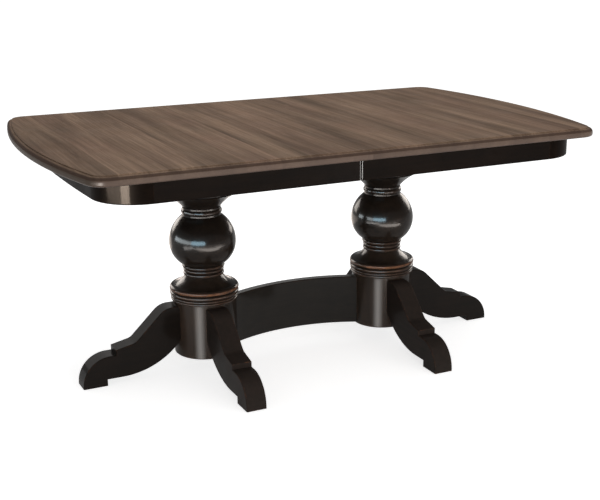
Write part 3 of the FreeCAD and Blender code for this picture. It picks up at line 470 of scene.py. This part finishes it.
@dataclass(frozen=True)
class BoardFinish(Finish):
    """Stained and waxed top board, with fibres across the table, a dark band in the edge step and painted
    shade under the nose.
    """

    tone: float = 1.0
    redness: float = 0.3
    shift: float = 0.0
    shift_lean: float = 0.37
    dark: Colour = (0.106, 0.071, 0.049)
    light: Colour = (0.216, 0.145, 0.099)
    red: Colour = (0.172, 0.104, 0.074)
    pore: Colour = (0.070, 0.045, 0.031)
    heart: Colour = (0.062, 0.038, 0.026)
    fleck: Colour = (0.250, 0.178, 0.128)
    step_band_and_under_shade: Colour = (0.052, 0.033, 0.026)
    nose: Colour = (0.138, 0.098, 0.080)
    # end_nose is painted shade: a darker nose on the ends of the top, where less light falls
    end_nose: Colour = (0.082, 0.062, 0.047)
    sway: float = 0.03
    streak_pitch: float = 17.0
    cloud_size: float = 0.22
    line_shade: Span = (0.82, 1.13)
    pore_share: float = 0.35
    dash_scale: Place = (130.0, 17.0, 130.0)
    dash_span: Span = (0.6, 0.74)
    dash_share: float = 0.3
    heart_x: float = 9.0
    heart_half: float = 0.02
    heart_depth: float = 0.3
    heart_fade: Span = (1.25, 0.75)
    wander: float = 0.03
    wander_scale: Place = (2.0, 2.6, 0.0)
    patch_scale: Place = (60.0, 2.0, 0.0)
    patch_span: Span = (0.3, 0.65)
    patch_shade: Span = (0.35, 1.0)
    nose_tone: float = 1.0
    nose_share: float = 0.7
    nose_coat: float = 0.8
    end_span: Span = (0.45, 0.85)
    end_shade_share: float = 0.8
    end_matt: float = 0.75
    step_foot: float = 0.7500
    step_head: float = 0.7570
    step_fade: float = 0.0012
    riser_share: float = 0.85
    lip_top: float = 0.7385
    lip_foot: float = 0.7350
    lip_shade_share: float = 0.5
    scuff_scale: float = 9.0
    sheen: Span = (0.48, 0.6)
    pore_matt: float = 0.12
    specular: float = 0.02
    coat_roughness: float = 0.3
    coat_ior: float = 1.2
    line_relief: float = 0.4
    relief_depth: float = 0.00012
    relief_share: float = 0.6

    def make(self, effects: SharedEffects) -> bpy.types.Material:
        """Build the material.

        Args:
            effects: The shared node groups.

        Returns:
            The material of one board.
        """
        material, bench, sockets, where = self.start()
        shifted = bench.stretch(where, (1.0, 1.0, 1.0), (self.shift, self.shift * self.shift_lean, 0.0))
        fibres = bench.place(effects.fibres, Vector=shifted, Sway=self.sway, Streak_Pitch=self.streak_pitch)
        colour = self.stained(bench, effects, fibres, shifted)
        colour = bench.blend(self.heart_streak(bench, where), colour, self.rgba(self.heart))
        height = bench.split(where)[2]
        below = bench.remap(height, self.step_foot + self.step_fade, self.step_foot - self.step_fade)
        on_nose = bench.times(below, self.nose_share)
        colour = bench.blend(on_nose, colour, self.rgba(self.nose, self.nose_tone))
        # Painted shade: the nose on both ends of the top, facing along X, is darkened for the light that
        # falls less there
        facing = bench.split(bench.add("ShaderNodeNewGeometry").outputs["Normal"])[0]
        shaded_end = bench.times(bench.remap(bench.math("ABSOLUTE", facing), *self.end_span), below)
        colour = bench.blend(bench.times(shaded_end, self.end_shade_share), colour, self.rgba(self.end_nose))
        # A dark band on the step's riser, and painted shade on the downward lip under the nose
        colour = bench.blend(self.dark_lines(bench, height), colour, self.rgba(self.step_band_and_under_shade))
        bench.feed(sockets["Base Color"], colour)
        scuffs = bench.place(effects.scuffs, Vector=where, Scale=self.scuff_scale)
        waxed = bench.remap(scuffs["Smears"], *EVEN, *self.sheen)
        matt_pores = bench.times(fibres["Pores"], self.pore_matt)
        bench.feed(sockets["Roughness"], bench.math("ADD", waxed, matt_pores))
        bench.feed(sockets["Specular IOR Level"], self.specular)
        glossy = bench.math("SUBTRACT", below, bench.times(shaded_end, self.end_matt))
        bench.feed(sockets["Coat Weight"], bench.times(glossy, self.nose_coat))
        bench.feed(sockets["Coat Roughness"], self.coat_roughness)
        bench.feed(sockets["Coat IOR"], self.coat_ior)
        grain = self.open_grain(bench, fibres, self.line_relief)
        self.relief(bench, sockets, grain, self.relief_depth, self.relief_share)
        return material

    def stained(self, bench: NodeBench, effects: SharedEffects, fibres: Any, shifted: Socket) -> Socket:
        """Colour of the stained face.

        Args:
            bench: The material's bench.
            effects: The shared node groups.
            fibres: Outputs of the placed wood fibres.
            shifted: The board's own coordinates.

        Returns:
            The socket of the colour.
        """
        mottle = bench.place(effects.mottle, Vector=shifted, Size=self.cloud_size)
        dark = self.rgba(self.dark, self.tone)
        light = self.rgba(self.light, self.tone)
        colour = bench.blend(fibres["Streaks"], dark, light)
        flush = bench.times(mottle["Clouds"], self.redness)
        colour = bench.blend(flush, colour, self.rgba(self.red, self.tone))
        thin = bench.remap(fibres["Lines"], *UNIT, *self.line_shade)
        colour = bench.blend(1.0, colour, bench.join(thin, thin, thin), "MULTIPLY")
        colour = bench.blend(bench.times(fibres["Pores"], self.pore_share), colour, self.rgba(self.pore))
        spots = bench.noise(bench.stretch(shifted, self.dash_scale), detail=2.0)
        dashes = bench.times(bench.remap(spots, *self.dash_span), self.dash_share)
        return bench.blend(dashes, colour, self.rgba(self.fleck, self.tone))

    def dark_lines(self, bench: NodeBench, height: Socket) -> Socket:
        """A dark band on the riser of the edge step, and painted shade on the downward lip under the nose.

        Args:
            bench: The material's bench.
            height: Socket of the height above the floor.

        Returns:
            The socket of the strength of the dark band and the painted shade.
        """
        riser = bench.times(
            bench.remap(height, self.step_foot - self.step_fade, self.step_foot + self.step_fade),
            bench.remap(height, self.step_head + self.step_fade, self.step_head - self.step_fade))
        lip = bench.remap(height, self.lip_top, self.lip_foot)
        return bench.math("MAXIMUM", bench.times(riser, self.riser_share), bench.times(lip, self.lip_shade_share))

    def heart_streak(self, bench: NodeBench, where: Socket) -> Socket:
        """A dark streak of heartwood along the board.

        Args:
            bench: The material's bench.
            where: The Object coordinates.

        Returns:
            The socket of the streak's strength.
        """
        across = bench.split(where)[0]
        slow = bench.noise(bench.stretch(where, self.wander_scale), detail=2.0)
        bend = bench.times(bench.math("SUBTRACT", slow, MIDDLE), self.wander)
        offset = bench.math("ADD", bench.math("SUBTRACT", across, self.heart_x), bend)
        outside, inside = (self.heart_half * share for share in self.heart_fade)
        band = bench.remap(bench.math("ABSOLUTE", offset), outside, inside)
        patchy = bench.noise(bench.stretch(where, self.patch_scale), detail=3.0)
        uneven = bench.remap(patchy, *self.patch_span, *self.patch_shade)
        return bench.times(bench.times(band, uneven), self.heart_depth)


@dataclass(frozen=True)
class Bead:
    """A turned bead of a column: its two heights, the radius of its crest and how far it is rubbed."""

    low: float
    high: float
    crest: float
    worn: float


@dataclass(frozen=True)
class LacquerFinish(Finish):
    """Espresso black lacquer over wood, with brown undertones and edges rubbed to copper."""

    grain: Grain = Grain.ALONG
    beads: tuple[Bead, ...] = ()
    axis_x: float = 0.32
    black: Colour = (0.0045, 0.0026, 0.0016)
    brown: Colour = (0.0092, 0.0050, 0.0030)
    copper: Colour = (0.165, 0.072, 0.036)
    sway: float = 0.012
    streak_pitch: float = 70.0
    cloud_size: float = 0.09
    brown_share: float = 0.45
    rub_amount: float = 0.3
    rub_reach: float = 0.0022
    rub_matt: float = 0.1
    ring_depth: float = 0.0016
    patch_scale: float = 24.0
    patch_span: Span = (0.38, 0.62)
    patch_shade: Span = (0.35, 1.0)
    scuff_scale: float = 14.0
    sheen: Span = (0.34, 0.44)
    specular: float = 0.01
    coat_weight: float = 0.2
    coat_roughness: float = 0.1
    coat_ior: float = 1.5
    scuffed_coat: float = 0.7
    line_relief: float = 0.5
    relief_depth: float = 0.00008
    relief_share: float = 0.35

    def make(self, effects: SharedEffects) -> bpy.types.Material:
        """Build the material.

        Args:
            effects: The shared node groups.

        Returns:
            The lacquer for pieces with one grain direction.
        """
        material, bench, sockets, where = self.start()
        along = self.turned(bench, where, self.grain)
        fibres = bench.place(effects.fibres, Vector=along, Sway=self.sway, Streak_Pitch=self.streak_pitch)
        mottle = bench.place(effects.mottle, Vector=where, Size=self.cloud_size)
        uneven = bench.math("ADD", mottle["Clouds"], fibres["Streaks"])
        warm = bench.times(uneven, self.brown_share, clamp=True)
        colour = bench.blend(warm, self.rgba(self.black), self.rgba(self.brown))
        edges = bench.place(effects.edge_rub, Vector=where, Reach=self.rub_reach, Amount=self.rub_amount)
        rub = edges["Rub"]
        if self.beads:
            rub = bench.math("MAXIMUM", rub, self.bead_rings(bench, effects, where))
        bench.feed(sockets["Base Color"], bench.blend(rub, colour, self.rgba(self.copper)))
        scuffs = bench.place(effects.scuffs, Vector=where, Scale=self.scuff_scale)
        broad = bench.remap(scuffs["Smears"], *EVEN, *self.sheen)
        bench.feed(sockets["Roughness"], bench.math("ADD", broad, bench.times(rub, self.rub_matt)))
        bench.feed(sockets["Specular IOR Level"], self.specular)
        scuffed = self.coat_weight * self.scuffed_coat
        coat = bench.remap(scuffs["Hairlines"], *UNIT, self.coat_weight, scuffed)
        bench.feed(sockets["Coat Weight"], bench.times(coat, bench.math("SUBTRACT", 1.0, rub)))
        bench.feed(sockets["Coat Roughness"], self.coat_roughness)
        bench.feed(sockets["Coat IOR"], self.coat_ior)
        grain = self.open_grain(bench, fibres, self.line_relief)
        self.relief(bench, sockets, grain, self.relief_depth, self.relief_share)
        return material

    def bead_rings(self, bench: NodeBench, effects: SharedEffects, where: Socket) -> Socket:
        """Rubbed rings on the beads of both columns.

        Args:
            bench: The material's bench.
            effects: The shared node groups.
            where: The Object coordinates.

        Returns:
            The socket of the rub, 0 to 1.
        """
        x, y, z = bench.split(where)
        off_axis = bench.math("SUBTRACT", bench.math("ABSOLUTE", x), self.axis_x)
        square = bench.math("ADD", bench.times(off_axis, off_axis), bench.times(y, y))
        radius = bench.math("SQRT", square)
        total: Any = 0.0
        for bead in self.beads:
            ring = bench.place(
                effects.bead_rub, Radius=radius, Height=z, Low=bead.low, High=bead.high, Crest=bead.crest,
                Depth=self.ring_depth)["Rub"]
            total = bench.math("MAXIMUM", total, bench.times(ring, bead.worn))
        broken = bench.noise(where, self.patch_scale, detail=4.0, roughness=0.65)
        return bench.times(total, bench.remap(broken, *self.patch_span, *self.patch_shade))


@dataclass(frozen=True)
class HardwoodFinish(Finish):
    """Bare pale hardwood of the slides, rails, plates and glue blocks."""

    grain: Grain = Grain.ALONG
    dark: Colour = (0.36, 0.235, 0.13)
    light: Colour = (0.56, 0.41, 0.26)
    pore: Colour = (0.22, 0.13, 0.07)
    dust: Colour = (0.42, 0.35, 0.28)
    sway: float = 0.015
    streak_pitch: float = 90.0
    cloud_size: float = 0.12
    pore_share: float = 0.4
    dust_share: float = 0.3
    sheen: Span = (0.5, 0.66)
    specular: float = 0.3
    line_relief: float = 0.5
    relief_depth: float = 0.00015
    relief_share: float = 0.6

    def make(self, effects: SharedEffects) -> bpy.types.Material:
        """Build the material.

        Args:
            effects: The shared node groups.

        Returns:
            The hardwood for pieces with one grain direction.
        """
        material, bench, sockets, where = self.start()
        along = self.turned(bench, where, self.grain)
        fibres = bench.place(effects.fibres, Vector=along, Sway=self.sway, Streak_Pitch=self.streak_pitch)
        mottle = bench.place(effects.mottle, Vector=where, Size=self.cloud_size)
        colour = bench.blend(fibres["Streaks"], self.rgba(self.dark), self.rgba(self.light))
        colour = bench.blend(bench.times(fibres["Pores"], self.pore_share), colour, self.rgba(self.pore))
        colour = bench.blend(bench.times(mottle["Flecks"], self.dust_share), colour, self.rgba(self.dust))
        bench.feed(sockets["Base Color"], colour)
        bench.feed(sockets["Roughness"], bench.remap(fibres["Lines"], *UNIT, *self.sheen))
        bench.feed(sockets["Specular IOR Level"], self.specular)
        grain = self.open_grain(bench, fibres, self.line_relief)
        self.relief(bench, sockets, grain, self.relief_depth, self.relief_share)
        return material


@dataclass(frozen=True)
class ZincFinish(Finish):
    """Zinc-plated steel with clouded plating and dull spots."""

    bright: Colour = (0.62, 0.62, 0.60)
    dull: Colour = (0.40, 0.39, 0.36)
    stain: Colour = (0.25, 0.19, 0.13)
    cloud_size: float = 0.012
    stain_share: float = 0.35
    scuff_scale: float = 120.0
    sheen: Span = (0.28, 0.46)
    metallic: float = 1.0
    relief_depth: float = 0.00003
    relief_share: float = 0.4

    def make(self, effects: SharedEffects) -> bpy.types.Material:
        """Build the material.

        Args:
            effects: The shared node groups.

        Returns:
            The plated steel.
        """
        material, bench, sockets, where = self.start()
        mottle = bench.place(effects.mottle, Vector=where, Size=self.cloud_size)
        scuffs = bench.place(effects.scuffs, Vector=where, Scale=self.scuff_scale)
        colour = bench.blend(mottle["Clouds"], self.rgba(self.bright), self.rgba(self.dull))
        colour = bench.blend(bench.times(mottle["Flecks"], self.stain_share), colour, self.rgba(self.stain))
        bench.feed(sockets["Base Color"], colour)
        bench.feed(sockets["Metallic"], self.metallic)
        bench.feed(sockets["Roughness"], bench.remap(scuffs["Smears"], *EVEN, *self.sheen))
        self.relief(bench, sockets, scuffs["Hairlines"], self.relief_depth, self.relief_share)
        return material


@dataclass(frozen=True)
class NylonFinish(Finish):
    """Moulded nylon with a faint pebbled skin and scuffed faces."""

    body: Colour = (0.62, 0.59, 0.52)
    grey: Colour = (0.42, 0.40, 0.36)
    cloud_size: float = 0.02
    grey_share: float = 0.5
    sheen: Span = (0.38, 0.55)
    subsurface: float = 0.08
    pebble_scale: float = 900.0
    relief_depth: float = 0.00006
    relief_share: float = 0.5

    def make(self, effects: SharedEffects) -> bpy.types.Material:
        """Build the material.

        Args:
            effects: The shared node groups.

        Returns:
            The nylon.
        """
        material, bench, sockets, where = self.start()
        mottle = bench.place(effects.mottle, Vector=where, Size=self.cloud_size)
        scuffed = bench.times(mottle["Flecks"], self.grey_share)
        bench.feed(sockets["Base Color"], bench.blend(scuffed, self.rgba(self.body), self.rgba(self.grey)))
        bench.feed(sockets["Roughness"], bench.remap(mottle["Clouds"], *UNIT, *self.sheen))
        bench.feed(sockets["Subsurface Weight"], self.subsurface)
        pebbles = bench.noise(where, self.pebble_scale, detail=2.0)
        self.relief(bench, sockets, pebbles, self.relief_depth, self.relief_share)
        return material


@dataclass
class SubAssembly:
    """A group of frame nodes that are dressed alike."""

    nodes: dict[str, bpy.types.Object]
    effects: SharedEffects

    def dress(self, names: list[str], finish: Finish) -> None:
        """Give one finish to several nodes.

        Args:
            names: Names of the frame's nodes.
            finish: The finish that they share.
        """
        material = finish.make(self.effects)
        for name in names:
            for slot in self.nodes[name].material_slots:
                slot.material = material
            LOG.info("%s wears %s", name, finish.name)

    def names(self, keep: Callable[[str], bool]) -> list[str]:
        """The sorted names of the nodes that a test picks."""
        return sorted(name for name in self.nodes if keep(name))


@dataclass(frozen=True)
class Heart:
    """A heartwood streak: its board, its place along the table, half its width and its depth of colour."""

    board: str
    x: float
    half: float
    depth: float


@dataclass
class TableTop(SubAssembly):
    """The sixteen boards of the two halves, each with its own tone."""

    left_tones: tuple[float, ...] = (1.08, 1.09, 1.06, 1.18, 0.98, 1.14, 1.13, 0.95)
    right_tones: tuple[float, ...] = (0.97, 1.10, 0.93, 1.03, 1.09, 1.11, 0.96, 1.02)
    redness: tuple[float, ...] = (0.25, 0.4, 0.2, 0.5, 0.3, 0.22, 0.45, 0.3)
    right_nose_tone: float = 0.8
    board_step: float = 3.1
    half_step: float = 29.0
    hearts: tuple[Heart, ...] = (
        Heart("left_board_2", -0.168, 0.016, 0.24),
        Heart("left_board_5", -0.398, 0.026, 0.34),
        Heart("left_board_7", -0.632, 0.012, 0.22),
        Heart("left_board_8", -0.755, 0.022, 0.18),
        Heart("right_board_4", 0.384, 0.013, 0.26),
        Heart("right_board_5", 0.494, 0.014, 0.18),
        Heart("right_board_6", 0.594, 0.016, 0.3),
        Heart("right_board_7", 0.612, 0.012, 0.24),
    )

    def build(self) -> None:
        """Dress every board."""
        tones = {Half.LEFT: self.left_tones, Half.RIGHT: self.right_tones}
        hearts = {heart.board: heart for heart in self.hearts}
        for half, values in tones.items():
            for index, tone in enumerate(values):
                name = f"{half.value}_board_{index + 1}"
                shift = self.board_step * index + (self.half_step if half is Half.RIGHT else 0.0)
                finish = BoardFinish(f"{name}_stain", tone, self.redness[index], shift)
                if half is Half.RIGHT:
                    finish = replace(finish, nose_tone=self.right_nose_tone)
                if name in hearts:
                    heart = hearts[name]
                    finish = replace(
                        finish, heart_x=heart.x, heart_half=heart.half, heart_depth=heart.depth)
                self.dress([name], finish)


@dataclass
class Base(SubAssembly):
    """The apron, columns, legs and stretcher in black lacquer."""

    beads: tuple[Bead, ...] = (
        Bead(0.230, 0.2385, 0.1055, 0.1),
        Bead(0.2385, 0.247, 0.1065, 0.1),
        Bead(0.247, 0.260, 0.1080, 0.14),
        Bead(0.260, 0.278, 0.1085, 0.6),
        Bead(0.308, 0.320, 0.0640, 0.16),
        Bead(0.320, 0.332, 0.0635, 0.14),
        Bead(0.332, 0.344, 0.0665, 0.16),
        Bead(0.5045, 0.5215, 0.0635, 0.08),
        Bead(0.560, 0.576, 0.1160, 0.1),
    )

    # One black lacquer in several copies: its base colour is lighter on the side legs, stretcher, outer
    # legs and columns than on the aprons, as painted light set to how bright each piece stands
    column_lacquer: LacquerFinish = LacquerFinish(
        "column_lacquer", Grain.UPRIGHT, coat_roughness=0.15,
        black=(0.0098, 0.0074, 0.0058), brown=(0.0150, 0.0100, 0.0072))
    outer_leg_lacquer: LacquerFinish = LacquerFinish(
        "length_lacquer", Grain.ALONG, coat_weight=0.13, rub_amount=0.6, rub_reach=0.004,
        black=(0.0105, 0.0082, 0.0068), brown=(0.0150, 0.0106, 0.0082))
    side_leg_lacquer: LacquerFinish = LacquerFinish(
        "width_lacquer", Grain.ACROSS, coat_weight=0.05, rub_amount=1.0, rub_reach=0.004,
        black=(0.0260, 0.0208, 0.0178), brown=(0.0345, 0.0252, 0.0212))
    stretcher_lacquer: LacquerFinish = LacquerFinish(
        "stretcher_lacquer", Grain.ALONG,
        black=(0.0180, 0.0158, 0.0138), brown=(0.0235, 0.0195, 0.0165))
    side_apron_lacquer: LacquerFinish = LacquerFinish("side_apron_lacquer", Grain.ALONG, coat_weight=0.06)
    end_apron_lacquer: LacquerFinish = LacquerFinish("end_apron_lacquer", Grain.ACROSS, coat_weight=0.02)

    def build(self) -> None:
        """Dress the black pieces by the way their grain runs, how they shine and how much painted light
        their colour holds.
        """
        columns = self.names(lambda name: name.endswith("_column"))
        outer_legs = self.names(lambda name: name.endswith("_outer_leg"))
        side_legs = self.names(lambda name: name.endswith("_leg") and name not in outer_legs)
        end_aprons = self.names(lambda name: name.endswith("_end_apron"))
        side_aprons = self.names(lambda name: name.endswith("_apron") and name not in end_aprons)
        self.dress(columns, replace(self.column_lacquer, beads=self.beads))
        self.dress(outer_legs, self.outer_leg_lacquer)
        self.dress(["stretcher"], self.stretcher_lacquer)
        self.dress(side_legs, self.side_leg_lacquer)
        self.dress(side_aprons, self.side_apron_lacquer)
        self.dress(end_aprons, self.end_apron_lacquer)


@dataclass
class ExtensionGear(SubAssembly):
    """The slides, racks, locks and fastenings under the top."""

    def build(self) -> None:
        """Dress the hidden pieces by their material slot."""
        slots = self.by_slot()
        wood = slots[Slot.SLIDE_WOOD]
        across = [name for name in wood if "cross_plate" in name]
        along = [name for name in wood if name not in across]
        self.dress(across, HardwoodFinish("plate_hardwood", Grain.ACROSS))
        self.dress(along, HardwoodFinish("slide_hardwood", Grain.ALONG))
        self.dress(slots[Slot.ZINC_STEEL], ZincFinish("zinc_plate"))
        self.dress(slots[Slot.NYLON], NylonFinish("moulded_nylon"))

    def by_slot(self) -> dict[Slot, list[str]]:
        """Names of the nodes under each material slot of the frame."""
        found: dict[Slot, list[str]] = {slot: [] for slot in Slot}
        for name in sorted(self.nodes):
            label = self.nodes[name].material_slots[0].material.name
            for slot in Slot:
                if label.split(".")[0] == slot.value:
                    found[slot].append(name)
        return found


@dataclass
class SoftLamp:
    """An area lamp that the camera doesn't see."""

    name: str
    place: Place
    target: Place
    width: float
    height: float
    radiance: float
    colour: Colour = (1.0, 1.0, 1.0)
    work: Work = Work.LIGHT_AND_SHINE
    reach: Reach = Reach.ALL
    spread: float = math.pi

    def build(self, groups: dict[Reach, bpy.types.Collection]) -> None:
        """Hang the lamp and aim it.

        Args:
            groups: The pieces under each reach other than all.
        """
        data = bpy.data.lights.new(self.name, "AREA")
        data.shape = "RECTANGLE"
        data.size = self.width
        data.size_y = self.height
        data.energy = self.radiance * math.pi * self.width * self.height
        data.color = self.colour
        data.spread = self.spread
        lamp = bpy.data.objects.new(self.name, data)
        bpy.context.scene.collection.objects.link(lamp)
        lamp.location = self.place
        aim = Vector(self.target) - Vector(self.place)
        lamp.rotation_euler = aim.to_track_quat("-Z", "Y").to_euler()
        lamp.visible_camera = False
        lamp.visible_diffuse = self.work is not Work.SHINE
        lamp.visible_glossy = self.work is not Work.LIGHT
        if self.reach in groups:
            lamp.light_linking.receiver_collection = groups[self.reach]
        LOG.info("lamp %s of %.0f W", self.name, data.energy)


@dataclass
class Studio:
    """White floor, soft lamps and the camera of the photograph."""

    floor_size: float = 240.0
    floor_colour: Colour = (0.9, 0.9, 0.9)
    floor_roughness: float = 0.95
    floor_specular: float = 0.0
    floor_glow: float = 0.72
    sky_strength: float = 0.42
    frame_width: float = 600.0
    frame_height: float = 500.0
    focal_pixels: float = 1139.3682
    centre_x: float = 340.35
    centre_y: float = 264.28
    sensor: float = 36.0
    camera_place: Place = (-1.49459, -3.24635, 1.36950)
    camera_turn: Place = (math.pi / 2 - 0.2929, 0.0007, -0.4722)
    lamps: list[SoftLamp] = field(default_factory=list)

    def build(self, nodes: dict[str, bpy.types.Object]) -> None:
        """Set up everything that isn't the table.

        Args:
            nodes: The frame's nodes, which some lamps pick from.
        """
        self.lay_floor()
        self.light_sky()
        groups = self.lamp_groups(nodes)
        for lamp in self.lamps:
            lamp.build(groups)
        self.set_camera()

    @staticmethod
    def lamp_groups(nodes: dict[str, bpy.types.Object]) -> dict[Reach, bpy.types.Collection]:
        """Gather the pieces that a lamp may be kept to.

        Args:
            nodes: The frame's nodes.

        Returns:
            One collection for each reach other than all.
        """
        groups = {}
        for reach in Reach:
            if reach is Reach.ALL:
                continue
            group = bpy.data.collections.new(f"lit_{reach.name.lower()}")
            for name in sorted(filter(reach.picks, nodes)):
                group.objects.link(nodes[name])
            groups[reach] = group
        return groups

    def lay_floor(self) -> None:
        """A white floor that fills the picture, keeps the table's shadow and is clear from below."""
        bpy.ops.object.select_all(action="DESELECT")
        bpy.ops.mesh.primitive_plane_add(size=self.floor_size)
        floor = bpy.context.object
        floor.name = "studio_floor"
        floor.data.materials.append(self.floor_material())
        LOG.info("floor laid")

    def floor_material(self) -> bpy.types.Material:
        """The floor's white, lifted where the camera or a shine sees it."""
        material = bpy.data.materials.new("studio_white")
        material.use_nodes = True
        bench = NodeBench(material.node_tree)
        shader = material.node_tree.nodes["Principled BSDF"]
        bench.feed(shader.inputs["Base Color"], Finish.rgba(self.floor_colour))
        bench.feed(shader.inputs["Roughness"], self.floor_roughness)
        bench.feed(shader.inputs["Specular IOR Level"], self.floor_specular)
        rays = bench.add("ShaderNodeLightPath").outputs
        seen = bench.math("ADD", rays["Is Camera Ray"], rays["Is Glossy Ray"], clamp=True)
        seen = bench.math("ADD", seen, rays["Is Transmission Ray"], clamp=True)
        bench.feed(shader.inputs["Emission Color"], WHITE)
        bench.feed(shader.inputs["Emission Strength"], bench.times(seen, self.floor_glow))
        either_side = bench.add("ShaderNodeMixShader")
        bench.feed(either_side.inputs[0], bench.add("ShaderNodeNewGeometry").outputs["Backfacing"])
        bench.feed(either_side.inputs[1], shader.outputs[0])
        bench.feed(either_side.inputs[2], bench.add("ShaderNodeBsdfTransparent").outputs[0])
        bench.feed(material.node_tree.nodes["Material Output"].inputs["Surface"], either_side.outputs[0])
        return material

    def light_sky(self) -> None:
        """An even dome of soft light."""
        world = bpy.data.worlds.new("studio_dome")
        world.use_nodes = True
        dome = world.node_tree.nodes["Background"]
        dome.inputs["Color"].default_value = WHITE
        dome.inputs["Strength"].default_value = self.sky_strength
        bpy.context.scene.world = world

    def set_camera(self) -> None:
        """The camera that took the photograph, found from the table's outline."""
        data = bpy.data.cameras.new("photograph")
        data.sensor_width = self.sensor
        data.lens = self.focal_pixels / self.frame_width * self.sensor
        data.shift_x = (self.frame_width / 2 - self.centre_x) / self.frame_width
        data.shift_y = (self.centre_y - self.frame_height / 2) / self.frame_width
        camera = bpy.data.objects.new("photograph", data)
        bpy.context.scene.collection.objects.link(camera)
        camera.location = self.camera_place
        camera.rotation_euler = self.camera_turn
        bpy.context.scene.camera = camera
        bpy.context.scene.view_settings.view_transform = "Standard"


def studio_lamps() -> list[SoftLamp]:
    """The lamps of the studio, named for what they do."""
    middle = (0.0, 0.0, 0.45)
    corner = {"place": (-2.56, -2.14, 0.36), "target": (-0.5, -0.2, 0.45), "width": 0.9, "height": 0.6}
    end = {"place": (-3.2, -1.0, 0.36), "target": (-0.5, 0.0, 0.45), "width": 1.7, "height": 0.6}
    seam = (0.0, -0.5, 0.6)
    sky_blue = (0.54, 0.83, 1.0)
    pale_blue = (0.86, 0.96, 1.0)
    rose = (1.0, 0.86, 0.76)
    pale = (1.0, 0.97, 0.94)
    warm = (1.0, 0.92, 0.85)
    amber = (1.0, 0.80, 0.64)
    shine = {"work": Work.SHINE, "reach": Reach.COLUMNS}
    nose = {"work": Work.SHINE, "reach": Reach.TOP}
    apron = {"work": Work.SHINE, "reach": Reach.END_APRONS}
    barrel = {"width": 0.14, "height": 0.18, "radiance": 0.85, "colour": pale, "spread": math.radians(38.0)}
    low_spread = math.radians(25.0)
    return [
        SoftLamp("overhead_box", (0.2, 0.6, 3.4), (0.0, 0.0, 0.7), width=3.2, height=2.2, radiance=2.15),
        SoftLamp("front_fill", (0.9, -4.2, 1.0), middle, width=4.0, height=2.0, radiance=3.0,
                 work=Work.LIGHT),
        SoftLamp("low_fill", (-0.75, -1.35, 0.11), (0.0, 0.0, 0.13), width=1.8, height=0.2, radiance=2.2,
                 colour=warm, work=Work.LIGHT, reach=Reach.COLUMNS, spread=low_spread),
        SoftLamp("corner_nose", **corner, radiance=110.0, colour=warm, **nose),
        SoftLamp("end_nose", **end, radiance=26.0, colour=warm, **nose),
        SoftLamp("corner_window", **corner, radiance=345.0, colour=amber, **apron),
        SoftLamp("end_window", **end, radiance=78.0, colour=amber, **apron),
        SoftLamp("seam_window", (-1.6, -1.3, 0.25), seam, width=2.4, height=0.5, radiance=150.0,
                 colour=pale, work=Work.SHINE, reach=Reach.RIGHT_SEAM),
        SoftLamp("seam_card", (1.6, -0.5, 0.25), seam, width=3.0, height=0.5, radiance=70.0,
                 colour=pale, work=Work.SHINE, reach=Reach.LEFT_SEAM),
        SoftLamp("left_window", (-6.0, 0.37, 0.65), (0.0, 0.37, 0.65), width=7.7, height=1.1, radiance=27.0,
                 colour=pale_blue, **shine),
        SoftLamp("front_window", (-3.61, -4.79, 0.7), (0.0, 0.0, 0.7), width=5.1, height=1.3, radiance=44.0,
                 colour=sky_blue, **shine),
        SoftLamp("floor_card", (-0.3, -1.45, 0.006), (-0.3, -1.45, 1.0), width=3.0, height=1.1,
                 radiance=23.0, colour=warm, **shine),
        SoftLamp("side_card", (-2.0, -0.75, 0.006), (-2.0, -0.75, 1.0), width=1.2, height=1.3,
                 radiance=18.0, colour=pale, **shine),
        SoftLamp("left_barrel_card", (-0.452, -0.175, 0.095), (0.217, 0.568, 0.455), **barrel, **shine),
        SoftLamp("right_barrel_card", (0.188, -0.175, 0.095), (0.857, 0.568, 0.455), **barrel, **shine),
        SoftLamp("rear_panel", (-0.4, 3.4, 1.4), middle, width=5.0, height=1.6, radiance=1.4,
                 colour=pale, work=Work.SHINE, reach=Reach.LEGS_AND_STRETCHER),
        SoftLamp("rim_card", (-0.2, 1.05, 0.15), (-0.2, 0.0, 0.42), width=1.5, height=0.3, radiance=4.0,
                 colour=rose, **shine),
        SoftLamp("left_flank", (-1.2, 3.4, 1.3), middle, width=1.8, height=1.6, radiance=14.0,
                 colour=warm, **shine),
        SoftLamp("right_flank", (3.4, 1.5, 1.3), middle, width=2.0, height=1.6, radiance=14.0,
                 colour=warm, **shine),
    ]


def main() -> None:
    """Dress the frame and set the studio."""
    logging.basicConfig(level=logging.INFO, format="%(name)s: %(message)s")
    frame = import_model()
    bpy.ops.object.select_all(action="DESELECT")
    effects = SharedEffects()
    nodes = frame["nodes"]
    ExtensionGear(nodes, effects).build()
    TableTop(nodes, effects).build()
    Base(nodes, effects).build()
    Studio(lamps=studio_lamps()).build(nodes)


if __name__ == "__main__":
    main()
